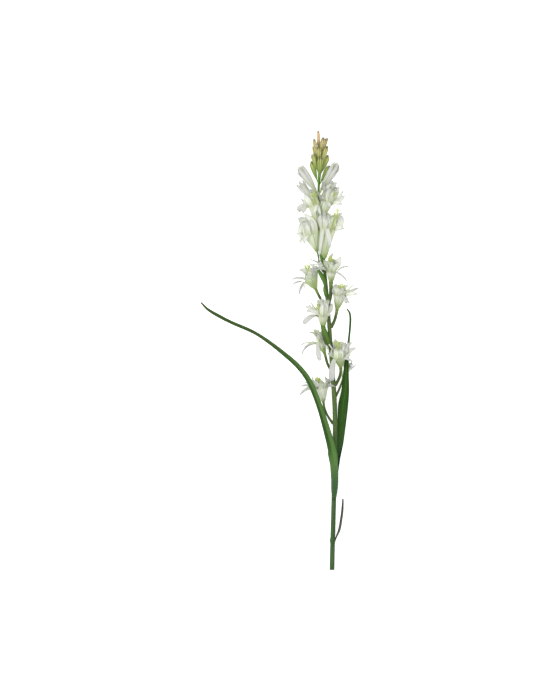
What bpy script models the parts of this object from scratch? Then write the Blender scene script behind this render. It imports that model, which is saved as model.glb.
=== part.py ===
"""A cut tuberose stem, laid down: one stalk, three leaves, twelve open florets, four opening
buds and a head of small green buds.

The tables below are in millimetres, in a frame that starts at the cut end of the stem: X to the
right, Y along the stem towards the tip, Z up from the surface it lies on. ORIGIN is the middle of
the whole flower in that frame, where the part's own origin goes, and MM turns lengths to metres.
"""

from math import atan2, cos, exp, pi, radians, sin

import bmesh
import bpy
from mathutils import Vector

MM = 0.001
ORIGIN = Vector((-89.0, 373.2, 0.0))
SEAT = 0.3            # clearance between two pieces that touch
REST_HEIGHT = 3.0     # soft parts bend along the surface from this height down
SHARP_EDGE = radians(50)
UPWARD_BACK = Vector((0.0, 0.3, 1.0))  # what a floret's right side is measured against

STEM_SIDES = 8
STEM_SPANS = 32
CURVE_STEPS = 8       # steps of the stem's curve between two rows of its table
STALK_SIDES = 6
STALK_SPANS = 6
BUD_SIDES = 8
PETALS = 6
RING = 2 * PETALS     # two columns of faces to a petal

# The stem's middle line and thickness, from the cut end to the topmost bud.
STEM = [
    # x, y, z, diameter
    (0.0, 0.0, 3.9, 7.7), (1.2, 52.0, 4.7, 7.5), (2.6, 119.0, 6.6, 7.5), (3.9, 170.0, 9.0, 7.4),
    (5.1, 221.0, 12.5, 7.3), (5.1, 255.0, 15.0, 7.2), (3.4, 297.5, 18.0, 7.1),
    (-0.9, 357.0, 21.5, 6.8), (-4.3, 408.0, 23.5, 6.4), (-7.7, 450.5, 24.8, 5.8),
    (-10.2, 484.5, 25.2, 5.3), (-13.6, 518.5, 25.2, 4.8), (-14.5, 547.0, 25.0, 4.3),
    (-19.6, 578.0, 24.6, 3.8), (-22.1, 612.0, 24.0, 3.3), (-23.0, 646.0, 23.2, 2.9),
    (-21.6, 671.5, 22.5, 2.6), (-22.4, 697.0, 21.7, 2.3), (-22.6, 714.0, 21.2, 2.1),
]

LEAF_NODE = (50.0, 0.8, 3.5)  # the ring where the low leaf grows: its place, height and half width
NODE_STATIONS = (-2.2, -1, 0, 1, 2.2)  # rings of points across it, in half widths

# Each floret: the radius of its stalk, its girth (the width of its mouth, as a share of
# TUBE_PROFILE's), where it leaves the stem, its foot, its mouth (where the petals part), how far the
# stamens stand past the mouth, and its six petal tips, from the right over the front to the left
# and round behind. With no stalk, the tube grows from the stem.
FLORETS = [
    dict(name="floret_01", stalk=1.6, girth=0.9, leaves_at=250.0, foot=(-15.3, 285.6, 13.5),
         mouth=(-20.3, 302.0, 13.0), stamens=18.0,
         tips=[(-9.5, 324.0, 10.0), (4.5, 311.5, 28.0), (-43.0, 321.0, 22.0),
               (-53.5, 312.0, 12.0), (-53.7, 298.0, 2.0), (-27.0, 326.0, -4.0)]),
    dict(name="floret_02", stalk=1.5, girth=0.6, leaves_at=297.0, foot=(19.0, 325.0, 9.0),
         mouth=(25.0, 340.0, 7.5), stamens=10.0,
         tips=[(40.0, 349.0, 6.0), (34.0, 354.0, 14.0), (25.0, 358.0, 15.0),
               (18.5, 357.0, 8.0), (23.0, 354.0, -3.0), (36.0, 349.0, -4.0)]),
    dict(name="floret_03", stalk=1.7, girth=1.0, leaves_at=316.0, foot=(13.6, 344.0, 25.0),
         mouth=(11.5, 362.0, 30.0), stamens=25.0,
         tips=[(39.0, 377.0, 30.0), (33.5, 355.0, 44.0), (1.0, 321.5, 33.0),
               (-7.3, 369.0, 36.0), (6.0, 392.0, 28.0), (32.5, 387.0, 27.0)]),
    dict(name="floret_04", stalk=1.5, girth=0.85, leaves_at=343.0, foot=(-13.3, 369.8, 17.0),
         mouth=(-18.5, 384.0, 15.0), stamens=24.0,
         tips=[(-8.0, 402.0, 14.0), (-28.0, 409.0, 26.0), (-21.0, 357.5, 27.0),
               (-50.3, 369.0, 18.0), (-38.0, 389.0, 2.0), (-38.0, 405.0, -2.0)]),
    dict(name="floret_05", stalk=3.2, girth=1.1, leaves_at=380.0, foot=(-15.3, 413.0, 31.0),
         mouth=(-16.4, 430.0, 34.0), stamens=22.0,
         tips=[(-1.0, 452.0, 32.0), (-2.0, 432.0, 52.0), (-44.0, 440.0, 48.0),
               (-48.5, 419.0, 36.0), (-45.0, 447.0, 22.0), (-23.0, 456.0, 8.0)]),
    dict(name="floret_06", stalk=1.7, girth=1.1, leaves_at=414.0, foot=(8.5, 442.0, 27.0),
         mouth=(12.0, 460.0, 29.5), stamens=22.0,
         tips=[(44.5, 479.0, 24.0), (42.0, 469.0, 38.0), (29.0, 452.5, 48.0),
               (1.0, 480.0, 38.0), (8.0, 486.0, 14.0), (27.5, 483.0, -3.0)]),
    dict(name="floret_07", stalk=1.6, girth=1.1, leaves_at=449.0, foot=(-27.0, 476.5, 21.0),
         mouth=(-34.0, 489.0, 20.0), stamens=28.0,
         tips=[(-32.5, 514.0, 18.0), (-46.0, 481.0, 44.0), (-69.0, 492.0, 21.0),
               (-67.0, 484.0, 8.0), (-55.8, 468.0, -2.0), (-54.5, 510.0, 4.0)]),
    dict(name="floret_08", stalk=2.1, girth=1.0, leaves_at=458.0, foot=(-2.2, 489.0, 32.0),
         mouth=(-1.4, 505.0, 35.0), stamens=28.0,
         tips=[(28.5, 516.0, 30.0), (24.5, 490.0, 46.0), (-33.0, 512.0, 52.0),
               (-37.5, 527.0, 42.0), (1.0, 537.0, 30.0), (15.0, 531.0, 22.0)]),
    dict(name="floret_09", stalk=1.3, girth=1.35, leaves_at=508.0, foot=(-25.5, 541.0, 23.5),
         mouth=(-35.0, 567.0, 22.0), stamens=20.0,
         tips=[(-30.0, 592.0, 20.0), (-47.0, 604.0, 34.0), (-48.0, 555.0, 40.0),
               (-59.5, 572.0, 24.0), (-54.5, 557.0, -1.0), (-57.0, 598.0, 6.0)]),
    dict(name="floret_10", stalk=0.0, girth=1.3, leaves_at=538.0, foot=(-12.0, 552.0, 31.0),
         mouth=(-5.0, 576.0, 31.5), stamens=36.0,
         tips=[(18.0, 592.0, 22.0), (19.0, 580.0, 42.0), (-4.0, 548.0, 50.0),
               (-12.5, 606.0, 38.0), (-2.0, 604.0, -2.0), (16.0, 607.0, 12.0)]),
    dict(name="floret_11", stalk=0.0, girth=0.9, leaves_at=592.0, foot=(-26.5, 604.0, 27.0),
         mouth=(-31.5, 617.0, 27.5), stamens=19.0,
         tips=[(-24.0, 640.0, 36.0), (-31.5, 603.0, 46.0), (-47.0, 636.0, 42.0),
               (-50.0, 606.0, 34.0), (-59.0, 617.0, 21.0), (-37.0, 646.0, 19.0)]),
    dict(name="floret_12", stalk=0.0, girth=1.1, leaves_at=600.0, foot=(-15.5, 611.0, 27.0),
         mouth=(-8.0, 624.0, 30.0), stamens=18.0,
         tips=[(20.5, 635.0, 26.0), (16.5, 621.0, 42.0), (-4.0, 615.0, 48.0),
               (-13.0, 645.0, 42.0), (8.0, 649.0, 24.0), (11.0, 641.0, 14.0)]),
]

# Closed buds: where each leaves the stem, a point at its fullest, its tip and its thickness.
WHITE_BUDS = [
    ("white_bud_01", 612.0, (-44.5, 645.0, 6.4), (-57.0, 661.0, 5.4), 10.5),
    ("white_bud_02", 622.0, (-7.0, 647.0, 7.4), (6.0, 659.0, 5.4), 10.5),
    ("white_bud_03", 638.0, (-43.5, 667.0, 28.0), (-56.5, 685.0, 28.0), 12.5),
    ("white_bud_04", 641.0, (-3.5, 670.0, 28.5), (9.5, 691.0, 29.5), 12.5),
]
GREEN_BUDS = [
    ("green_bud_01", 660.0, (-32.0, 684.0, 20.0), (-35.5, 694.5, 19.5), 8.0),
    ("green_bud_02", 657.0, (-9.5, 678.0, 20.5), (-4.0, 687.0, 20.5), 7.6),
    ("green_bud_03", 667.0, (-20.5, 691.0, 33.0), (-20.0, 702.0, 34.5), 7.8),
    ("green_bud_04", 666.0, (-21.5, 690.0, 11.0), (-21.5, 701.0, 9.5), 7.4),
    ("green_bud_05", 674.0, (-10.5, 695.0, 17.0), (-6.5, 705.0, 16.0), 7.8),
    ("green_bud_06", 677.0, (-30.5, 697.5, 26.0), (-33.5, 707.0, 27.0), 7.4),
    ("green_bud_07", 688.0, (-11.5, 710.0, 26.5), (-8.5, 720.0, 28.0), 7.2),
    ("green_bud_08", 690.0, (-29.0, 712.0, 17.0), (-31.5, 722.0, 16.0), 7.0),
    ("green_bud_09", 693.0, (-22.5, 708.5, 30.5), (-23.0, 719.5, 33.0), 6.8),
    ("green_bud_10", 699.0, (-12.5, 724.5, 19.0), (-8.5, 734.5, 17.5), 5.6),
    ("green_bud_11", 704.0, (-29.0, 723.5, 24.5), (-31.0, 732.0, 25.0), 5.4),
    ("green_bud_12", 706.0, (-16.5, 725.0, 26.5), (-14.5, 735.0, 28.0), 6.0),
]
TOP_BUD = ("top_bud", (-23.3, 746.4, 20.6), 5.4)

# Leaves: middle line, width and the way the blade faces, from the stem to the tip. hug is how far
# round the stem the foot of the blade wraps, as a radius of its cross section; 0 is flat.
LEAVES = [
    dict(name="leaf_left", thickness=1.1, path=[
        # x, y, z, width, facing (x, z), hug radius
        (2.9, 128.0, 11.8, 6.4, (0.0, 1.0), 4.8), (4.2, 153.0, 13.5, 9.4, (0.0, 1.0), 5.0),
        (4.3, 178.0, 16.5, 12.5, (0.0, 1.0), 9.0), (0.8, 204.0, 21.0, 13.5, (0.05, 1.0), 0),
        (-7.7, 236.0, 26.0, 13.8, (0.1, 1.0), 0), (-22.0, 280.0, 30.5, 13.6, (0.1, 1.0), 0),
        (-40.0, 323.0, 33.0, 12.6, (0.0, 1.0), 0), (-59.0, 348.0, 33.0, 11.6, (-0.2, 1.0), 0),
        (-86.0, 372.0, 30.5, 9.6, (-0.9, 1.0), 0), (-110.0, 390.0, 26.5, 8.4, (-1.4, 1.0), 0),
        (-134.0, 405.0, 21.5, 7.4, (-1.8, 1.0), 0), (-170.0, 421.0, 13.0, 6.4, (-1.7, 1.0), 0),
        (-194.0, 433.0, 7.0, 5.4, (-0.8, 1.0), 0), (-212.0, 444.0, 2.6, 4.2, (-0.2, 1.0), 0),
        (-222.0, 454.6, 0.8, 1.6, (0.0, 1.0), 0)]),
    dict(name="leaf_right", thickness=1.1, path=[
        (7.9, 150.0, 6.4, 5.5, (0.85, -0.5), 4.9), (9.8, 172.0, 6.0, 7.5, (0.7, -0.7), 5.2),
        (14.0, 214.0, 5.0, 11.0, (0.0, -1.0), 0), (16.5, 247.0, 3.6, 15.0, (0.0, -1.0), 0),
        (19.0, 280.0, 6.0, 17.5, (0.0, -1.0), 0), (22.5, 303.0, 12.5, 14.5, (0.15, -1.0), 0),
        (24.0, 328.0, 17.5, 11.0, (0.25, -1.0), 0), (25.0, 353.0, 20.0, 8.0, (0.6, -1.0), 0),
        (27.5, 380.0, 19.5, 6.5, (1.2, -1.0), 0), (30.6, 405.0, 17.0, 5.5, (2.2, -1.0), 0),
        (32.0, 426.0, 14.0, 4.5, (2.2, -1.0), 0), (30.0, 437.0, 12.0, 3.2, (2.0, -1.0), 0),
        (25.7, 443.0, 10.5, 1.4, (1.4, -1.0), 0)]),
    dict(name="leaf_low", thickness=1.5, path=[
        (6.7, 52.5, 4.3, 5.0, (1.0, 0.0), 4.9), (9.2, 60.0, 4.5, 6.5, (1.0, 0.1), 0),
        (12.6, 70.0, 4.4, 7.0, (1.0, 0.15), 0), (16.3, 92.5, 4.2, 6.6, (1.0, 0.2), 0),
        (18.2, 110.5, 3.4, 4.2, (1.0, 0.3), 0), (18.7, 121.0, 2.4, 1.4, (1.0, 0.3), 0)]),
]
# Small bracts in the axils of the upper florets: foot on the stem, tip, width.
BRACTS = [
    ("bract_01", 464.0, (-14.0, 483.0, 33.5), 7.5),
    ("bract_02", 444.0, (-1.0, 470.0, 24.0), 7.0),
    ("bract_03", 487.0, (-18.0, 511.0, 35.0), 8.5),
    ("bract_04", 520.0, (-20.0, 540.0, 31.0), 7.5),
]

EDGE_THINNING = 0.55  # share of a blade's thickness that is lost towards its edges
LEAF_STEPS = 2        # steps of a leaf between two rows of its path

BRACT_OUTLINE = [(0.0, 0.7), (0.3, 1.0), (0.6, 0.85), (0.85, 0.45), (1.0, 0.12)]
BRACT_RISE = 6.0      # how far a bract runs along the stem before it turns away
BRACT_ARRIVAL = 8.0   # and how far it runs along the stem's way up to its tip
BRACT_HUG = 5.0
BRACT_THICKNESS = 0.9
BRACT_CLEARANCE = 0.4  # beyond SEAT, for the half thickness of its curved foot

# Shape of a floret's tube, foot to mouth: share of its length, outer radius.
TUBE_PROFILE = [(0.0, 2.2), (0.16, 3.2), (0.5, 4.8), (0.8, 6.4), (1.0, 7.4)]
PIT_STATION = 2       # the throat is open down to this station of the profile
WALL = 0.9            # thickness of tube wall and petals
PETAL_WIDTH = 12.0    # of a petal that reaches FULL_REACH or more; a shorter one is narrower
FULL_REACH = 28.0
PETAL_OUTLINE = [(0.22, 0.70), (0.50, 1.0), (0.80, 0.68), (1.0, 0.14)]  # share of length, of width
PETAL_CUP = 0.10      # how far a petal's edges stand up, as a share of its width
PETAL_LEAVES = (0.9, 0.45)  # the way a petal starts: share along the tube, share outward
PETAL_BEND = 0.36     # length of the curve's two handles, as a share of the petal's reach
PETAL_TWIST = 1.1     # how soon along its length a petal turns to lie across its own arch
ROUND_SHARE = 0.35    # how much of the ring's own direction stays in it after that
PETAL_STEP = 0.02     # share of a petal's length over which its direction is taken
STEEP = pi / 3        # a petal that turns back more than this arches evenly

# Six stamens as one post: share of its length, radius at the six ridges, radius between them.
STAMEN_PROFILE = [(0.0, 0.7, 0.7), (0.6, 1.3, 0.9), (0.82, 2.4, 1.2), (1.0, 2.0, 0.8)]
STALK_RISE = 1.2      # how far a stalk leaves along the stem, for each unit away from it
STALK_HANDLES = (0.35, 0.4)  # how straight a stalk leaves the stem, and reaches its floret
TUBE_HANDLE = 0.5     # how straight a tube without a stalk leaves the stem
# Shape of a bud, foot to tip: share of its length, radius as a share of its fullest.
BUD_PROFILE = [(0.0, 0.26), (0.22, 0.36), (0.45, 0.72), (0.70, 1.0), (0.89, 0.78), (0.98, 0.30)]
TOP_PROFILE = [(0.0, 0.36), (0.15, 0.66), (0.42, 1.0), (0.70, 0.94), (0.89, 0.66), (0.98, 0.28)]
BUD_BEND = 0.3        # how straight a bud leaves the stem, as a share of the way to its fullest
BUD_LEAN = 0.6        # how far back from its fullest it already points at its tip


MATERIALS = {
    # name, colour as it looks (sRGB from 0 to 1), roughness
    "stem": ("stem_green", (0.35, 0.45, 0.25), 0.5),
    "stalk": ("stalk_green", (0.33, 0.42, 0.22), 0.5),
    "leaf": ("leaf_green", (0.27, 0.42, 0.18), 0.45),
    "bract": ("bract_green", (0.33, 0.48, 0.20), 0.5),
    "petal": ("petal_white", (0.92, 0.93, 0.89), 0.5),
    "stamen": ("stamen_yellow", (0.68, 0.74, 0.36), 0.6),
    "white_bud": ("bud_white", (0.90, 0.91, 0.86), 0.5),
    "green_bud": ("bud_green", (0.58, 0.64, 0.36), 0.5),
    "top_bud": ("bud_tan", (0.72, 0.62, 0.46), 0.5),
}


def clear_scene():
    for obj in list(bpy.data.objects):
        bpy.data.objects.remove(obj, do_unlink=True)


def plain_material(name, colour, roughness):
    """A Principled material; the colour is given as it looks, in sRGB from 0 to 1."""
    material = bpy.data.materials.new(name)
    material.use_nodes = True
    shader = material.node_tree.nodes["Principled BSDF"]
    shader.inputs["Base Color"].default_value = [c ** 2.2 for c in colour] + [1.0]
    shader.inputs["Roughness"].default_value = roughness
    shader.inputs["Metallic"].default_value = 0.0
    return material


def add_solid(name, points, faces, material):
    """A closed mesh object from points in the table's frame, with its faces turned outward."""
    mesh = bpy.data.meshes.new(name)
    mesh.from_pydata([(p - ORIGIN) * MM for p in points], [], faces)
    shape = bmesh.new()
    shape.from_mesh(mesh)
    bmesh.ops.recalc_face_normals(shape, faces=shape.faces)
    shape.to_mesh(mesh)
    shape.free()
    mesh.shade_smooth()
    mesh.set_sharp_from_angle(angle=SHARP_EDGE)
    mesh.materials.append(material)
    obj = bpy.data.objects.new(name, mesh)
    bpy.context.scene.collection.objects.link(obj)
    return obj


def bezier(a, b, c, d, t):
    s = 1 - t
    return a * s ** 3 + b * (3 * s * s * t) + c * (3 * s * t * t) + d * t ** 3


def smooth_points(rows, per_span):
    """A smooth curve through rows of numbers that start with x, y and z, per_span steps a span."""
    rows = [Vector(row) for row in rows]
    steps = [(b - a).xyz.length for a, b in zip(rows, rows[1:])]
    slopes = [(rows[1] - rows[0]) / steps[0]]
    for i in range(1, len(rows) - 1):
        slopes.append((rows[i + 1] - rows[i - 1]) / (steps[i - 1] + steps[i]))
    slopes.append((rows[-1] - rows[-2]) / steps[-1])
    curve = []
    for i, step in enumerate(steps):
        out_to = rows[i] + slopes[i] * step / 3
        back_to = rows[i + 1] - slopes[i + 1] * step / 3
        for k in range(per_span):
            curve.append(bezier(rows[i], out_to, back_to, rows[i + 1], k / per_span))
    return curve + [rows[-1]]


def above_surface(point, half_thickness):
    """The point, bent along the surface where it would come within REST_HEIGHT of it."""
    height = point.z - half_thickness
    if height < REST_HEIGHT:
        point = point.copy()
        point.z = REST_HEIGHT * exp((height - REST_HEIGHT) / REST_HEIGHT) + half_thickness
    return point


def directions(points):
    ends = [points[0]] + points + [points[-1]]
    return [(after - before).normalized() for before, after in zip(ends, ends[2:])]


STEM_CURVE = smooth_points(STEM, CURVE_STEPS)
STEM_LINE = [row.xyz for row in STEM_CURVE]


def stem_at(y):
    """The stem's middle point, direction and radius at a height y along it."""
    index = next(i for i in range(1, len(STEM_LINE)) if STEM_LINE[i].y >= y)
    before, after = STEM_CURVE[index - 1], STEM_CURVE[index]
    here = before.lerp(after, (y - before.y) / (after.y - before.y))
    place, swelling, half_width = LEAF_NODE
    radius = here.w / 2 + swelling * exp(-((y - place) / half_width) ** 2)
    return here.xyz, (after - before).xyz.normalized(), radius


def stem_seat(y, towards):
    """Where a piece that leaves the stem at y towards a point is seated, and the ways away from
    the stem and along it there."""
    centre, along, radius = stem_at(y)
    away = towards - centre
    away = (away - along * away.dot(along)).normalized()
    return centre + away * (radius + SEAT), away, along


def tube(name, centres, radii, sides, material, leaving=None):
    """A closed round bar along a line of centres, with flat ends; leaving squares up its foot."""
    points, faces = [], []
    tangents = directions(centres)
    if leaving:
        tangents[0] = leaving
    across = tangents[0].cross(Vector((0, 0, 1)))
    if across.length < 0.1:
        across = Vector((1, 0, 0))
    for centre, tangent, radius in zip(centres, tangents, radii):
        across = (across - tangent * across.dot(tangent)).normalized()
        other = tangent.cross(across)
        for side in range(sides):
            angle = 2 * pi * side / sides
            points.append(centre + (across * cos(angle) + other * sin(angle)) * radius)
    for row in range(len(centres) - 1):
        for side in range(sides):
            after = (side + 1) % sides
            faces.append((row * sides + side, row * sides + after,
                          (row + 1) * sides + after, (row + 1) * sides + side))
    faces.append(tuple(range(sides)))
    faces.append(tuple(range(len(points) - sides, len(points))))
    return add_solid(name, points, faces, material)


def main_stem(material):
    top = STEM_LINE[-1].y
    place, _, half_width = LEAF_NODE
    stations = [top * i / STEM_SPANS for i in range(STEM_SPANS + 1)]
    stations = [y for y in stations if abs(y - place) > 3 * half_width]
    stations = sorted(stations + [place + half_width * k for k in NODE_STATIONS])
    rings = [stem_at(y) for y in stations]
    return tube("main_stem", [ring[0] for ring in rings], [ring[2] for ring in rings],
                STEM_SIDES, material)


def bud(name, leaves_at, fullest, tip, thickness, material):
    fullest, tip = Vector(fullest), Vector(tip)
    seat, away, _ = stem_seat(leaves_at, fullest)
    reach = (fullest - seat).length
    bend = seat + away * reach * BUD_BEND
    lean = fullest - (tip - fullest) * BUD_LEAN
    centres = [bezier(seat, bend, lean, tip, share) for share, _ in BUD_PROFILE]
    radii = [share * thickness / 2 for _, share in BUD_PROFILE]
    return tube(name, centres, radii, BUD_SIDES, material, leaving=away)


def top_bud(material):
    name, tip, thickness = TOP_BUD
    tip = Vector(tip)
    foot = STEM_LINE[-1] + (tip - STEM_LINE[-1]).normalized() * SEAT
    centres = [foot.lerp(tip, share) for share, _ in TOP_PROFILE]
    centres[-1] = tip
    radii = [share * thickness / 2 for _, share in TOP_PROFILE]
    return tube(name, centres, radii, BUD_SIDES, material)


def blade(name, rows, thickness, material, across=4):
    """A leaf: rows of (centre, width, facing vector, hug radius) from foot to tip."""
    centres = [row[0] for row in rows]
    upper, lower = [], []
    for (centre, width, facing, hug), along in zip(rows, directions(centres)):
        side = along.cross(facing).normalized()
        normal = side.cross(along).normalized()
        for column in range(across + 1):
            off = width * (column / across - 0.5)
            middle = centre + side * off
            tilt = normal
            if hug:
                angle = off / hug
                middle = centre + side * (hug * sin(angle)) - normal * (hug * (1 - cos(angle)))
                tilt = normal * cos(angle) + side * sin(angle)
            half = thickness / 2 * (1 - EDGE_THINNING * abs(2 * column / across - 1))
            middle = above_surface(middle, half)
            upper.append(middle + tilt * half)
            lower.append(middle - tilt * half)
    points = upper + lower
    wide, under = across + 1, len(upper)
    last = (len(rows) - 1) * wide
    faces = []
    for row in range(len(rows) - 1):
        for column in range(across):
            corner = row * wide + column
            faces.append((corner, corner + 1, corner + wide + 1, corner + wide))
            back = (corner, corner + wide, corner + wide + 1, corner + 1)
            faces.append(tuple(under + i for i in back))
        for edge in (row * wide, row * wide + across):
            faces.append((edge, edge + wide, under + edge + wide, under + edge))
    for start in (0, last):
        for column in range(start, start + across):
            faces.append((column, column + 1, under + column + 1, under + column))
    return add_solid(name, points, faces, material)


def leaf(spec, material):
    numbers = [(x, y, z, width, facing_x, facing_z, hug)
               for x, y, z, width, (facing_x, facing_z), hug in spec["path"]]
    rows = []
    for x, y, z, width, facing_x, facing_z, hug in smooth_points(numbers, LEAF_STEPS):
        rows.append((Vector((x, y, z)), width, Vector((facing_x, 0.0, facing_z)), hug))
    hugging = [row[-1] > 0 for row in spec["path"]].index(False) * LEAF_STEPS - 1
    rows = [row if i < hugging else row[:3] + (0,) for i, row in enumerate(rows)]
    return blade(spec["name"], rows, spec["thickness"], material)


def bract(name, leaves_at, tip, width, material):
    tip = Vector(tip)
    seat, away, along = stem_seat(leaves_at, tip)
    seat += away * BRACT_CLEARANCE
    rise, arrival = seat + along * BRACT_RISE, tip - along * BRACT_ARRIVAL
    rows = []
    for share, full in BRACT_OUTLINE:
        rows.append((bezier(seat, rise, arrival, tip, share), width * full, away, BRACT_HUG))
    return blade(name, rows, BRACT_THICKNESS, material, across=2)


def petal_curve(mouth, facing, outward, tip, mouth_radius):
    """A petal's middle line: it leaves along the tube's flare and arches over to its tip."""
    start = mouth + outward * mouth_radius
    leaving = (facing * PETAL_LEAVES[0] + outward * PETAL_LEAVES[1]).normalized()
    reach = (tip - start).length
    way = (tip - start) / reach
    turned = leaving.angle(way)
    droop = turned if turned < STEEP else (pi - turned) / 2
    fall = (way * leaving.dot(way) - leaving).normalized()
    arriving = way * cos(droop) + fall * sin(droop)
    handle = reach * PETAL_BEND
    return start, start + leaving * handle, tip - arriving * handle, tip


def petal_rows(mouth, facing, outward, tip, mouth_radius):
    """The middle surface of one petal: rows of three points, from just past the mouth to the tip."""
    curve = petal_curve(mouth, facing, outward, tip, mouth_radius)
    reach = (tip - curve[0]).length
    width = PETAL_WIDTH * min(1.0, reach / FULL_REACH)
    round_axis = outward.cross(facing)
    arc_side = (curve[1] - curve[0]).cross(tip - curve[0]).normalized()
    if arc_side.dot(round_axis) < 0:
        arc_side = -arc_side
    arc_side = (arc_side + round_axis * ROUND_SHARE).normalized()
    rows = []
    for share, full in PETAL_OUTLINE:
        centre = bezier(*curve, share)
        ahead, behind = min(1.0, share + PETAL_STEP), share - PETAL_STEP
        along = (bezier(*curve, ahead) - bezier(*curve, behind)).normalized()
        side = round_axis.lerp(arc_side, min(1.0, PETAL_TWIST * share))
        side = (side - along * side.dot(along)).normalized()
        inward = side.cross(along)
        half = side * (width * full / 2)
        raised = inward * (width * full * PETAL_CUP)
        row = [centre - half + raised, centre, centre + half + raised]
        rows.append([(above_surface(p, WALL / 2), inward) for p in row])
    return rows


def petal_turn(first, other, mouth, tips):
    """How far the ring of six petals is turned round its axis, so that each faces its own tip."""
    step = 2 * pi / PETALS
    turns = [atan2((tip - mouth).dot(other), (tip - mouth).dot(first)) - step * k
             for k, tip in enumerate(tips)]
    return atan2(sum(map(sin, turns)), sum(map(cos, turns)))


def axes_across(facing):
    """Two directions across a floret: to its right, and towards its front."""
    first = facing.cross(UPWARD_BACK).normalized()
    return first, first.cross(facing)


def perianth(name, centres, leaving, girth, tips, material):
    """A floret's tube and six petals as one thin-walled solid, open at the throat. The girth
    widens or narrows the tube little by little towards its mouth."""
    tangents = directions(centres)
    tangents[0] = leaving
    facing, mouth = tangents[-1], centres[-1]
    first, other = axes_across(facing)
    tips = [Vector(tip) for tip in tips]
    roll = petal_turn(first, other, mouth, tips)
    points, faces = [], []

    def ring(centre, tangent, radius):
        across = (first - tangent * first.dot(tangent)).normalized()
        over = across.cross(tangent)
        start = len(points)
        for column in range(RING):
            angle = roll + 2 * pi * (column - 1) / RING
            points.append(centre + (across * cos(angle) + over * sin(angle)) * radius)
        return [start + column for column in range(RING)]

    def band(lower, upper):
        for column in range(RING):
            after = (column + 1) % RING
            faces.append((lower[column], lower[after], upper[after], upper[column]))

    stations = [(centre, tangent, radius * (1 + (girth - 1) * share))
                for centre, tangent, (share, radius) in zip(centres, tangents, TUBE_PROFILE)]
    outer = [ring(c, t, radius) for c, t, radius in stations]
    inner = [ring(c, t, radius - WALL) for c, t, radius in stations[PIT_STATION:]]
    for rings in (outer, inner):
        for lower, upper in zip(rings, rings[1:]):
            band(lower, upper)
    faces.append(tuple(outer[0]))
    faces.append(tuple(inner[0]))

    for petal, tip in enumerate(tips):
        angle = roll + 2 * pi * petal / PETALS
        outward = first * cos(angle) + other * sin(angle)
        columns = [(2 * petal + i) % RING for i in range(3)]
        below = [outer[-1][c] for c in columns]
        above = [inner[-1][c] for c in columns]
        for row in petal_rows(mouth, facing, outward, tip, stations[-1][2]):
            start = len(points)
            points.extend(p - inward * WALL / 2 for p, inward in row)
            points.extend(p + inward * WALL / 2 for p, inward in row)
            next_below, next_above = [start, start + 1, start + 2], [start + 3, start + 4, start + 5]
            for i in (0, 1):
                faces.append((below[i], below[i + 1], next_below[i + 1], next_below[i]))
                faces.append((above[i], above[i + 1], next_above[i + 1], next_above[i]))
            for i in (0, 2):
                faces.append((below[i], next_below[i], next_above[i], above[i]))
            below, above = next_below, next_above
        for i in (0, 1):
            faces.append((below[i], below[i + 1], above[i + 1], above[i]))
    return add_solid(name, points, faces, material)


def stamen_cluster(name, foot, facing, length, material):
    """Six stamens standing close together, as one fluted post that opens out at the top."""
    first, other = axes_across(facing)
    points, faces = [], []
    for share, ridge, groove in STAMEN_PROFILE:
        for column in range(RING):
            angle = 2 * pi * column / RING
            radius = groove if column % 2 else ridge
            points.append(foot + facing * (share * length)
                          + (first * cos(angle) + other * sin(angle)) * radius)
    for row in range(len(STAMEN_PROFILE) - 1):
        for column in range(RING):
            after = (column + 1) % RING
            faces.append((row * RING + column, row * RING + after,
                          (row + 1) * RING + after, (row + 1) * RING + column))
    faces.append(tuple(range(RING)))
    faces.append(tuple(range(len(points) - RING, len(points))))
    return add_solid(name, points, faces, material)


def floret(spec, materials):
    foot, mouth = Vector(spec["foot"]), Vector(spec["mouth"])
    facing = (mouth - foot).normalized()
    seat, away, along = stem_seat(spec["leaves_at"], foot)
    reach = (foot - seat).length
    leaving = facing
    if spec["stalk"]:
        end = foot - facing * SEAT
        first, last = (reach * share for share in STALK_HANDLES)
        rising = (away + along * STALK_RISE).normalized()
        controls = (seat, seat + rising * first, end - facing * last, end)
        line = [bezier(*controls, i / STALK_SPANS) for i in range(STALK_SPANS + 1)]
        tube(spec["name"] + "_stalk", line, [spec["stalk"]] * len(line), STALK_SIDES,
             materials["stalk"], leaving=away)
        centres = [foot.lerp(mouth, share) for share, _ in TUBE_PROFILE]
    else:
        leaving = away
        controls = (seat, seat + away * reach * TUBE_HANDLE, foot, mouth)
        centres = [bezier(*controls, share) for share, _ in TUBE_PROFILE]
    perianth(spec["name"] + "_perianth", centres, leaving, spec["girth"], spec["tips"],
             materials["petal"])
    facing = directions(centres)[-1]
    pit = centres[PIT_STATION] + facing * SEAT
    length = (mouth - pit).dot(facing) + spec["stamens"]
    stamen_cluster(spec["name"] + "_stamens", pit, facing, length, materials["stamen"])


def main():
    clear_scene()
    materials = {key: plain_material(*row) for key, row in MATERIALS.items()}
    main_stem(materials["stem"])
    for spec in LEAVES:
        leaf(spec, materials["leaf"])
    for row in BRACTS:
        bract(*row, materials["bract"])
    for spec in FLORETS:
        floret(spec, materials)
    for row in WHITE_BUDS:
        bud(*row, materials["white_bud"])
    for row in GREEN_BUDS:
        bud(*row, materials["green_bud"])
    top_bud(materials["top_bud"])


main()
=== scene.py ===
"""The looks of a cut tuberose stem that has been laid down: ribbed stem, long channelled leaves,
waxy white florets with curled petals, opening white buds and a head of small green buds.

Shapes are worked out in millimetres, in a frame that starts at the cut end of the stem: X to the
right, Y along the stem towards its tip, Z up from the surface it lies on. ORIGIN is where the
part's own origin is in that frame. Every piece carries an attribute, "grain", that its material
reads. On the stem and stalks it is how far the skin faces right and up, and the share of the
length. On blades and petals it is the place across (-1 to 1), a shade of the strip's own and the
share of the length. The stamens' dress and the cut face's say what theirs is.
"""

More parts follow.
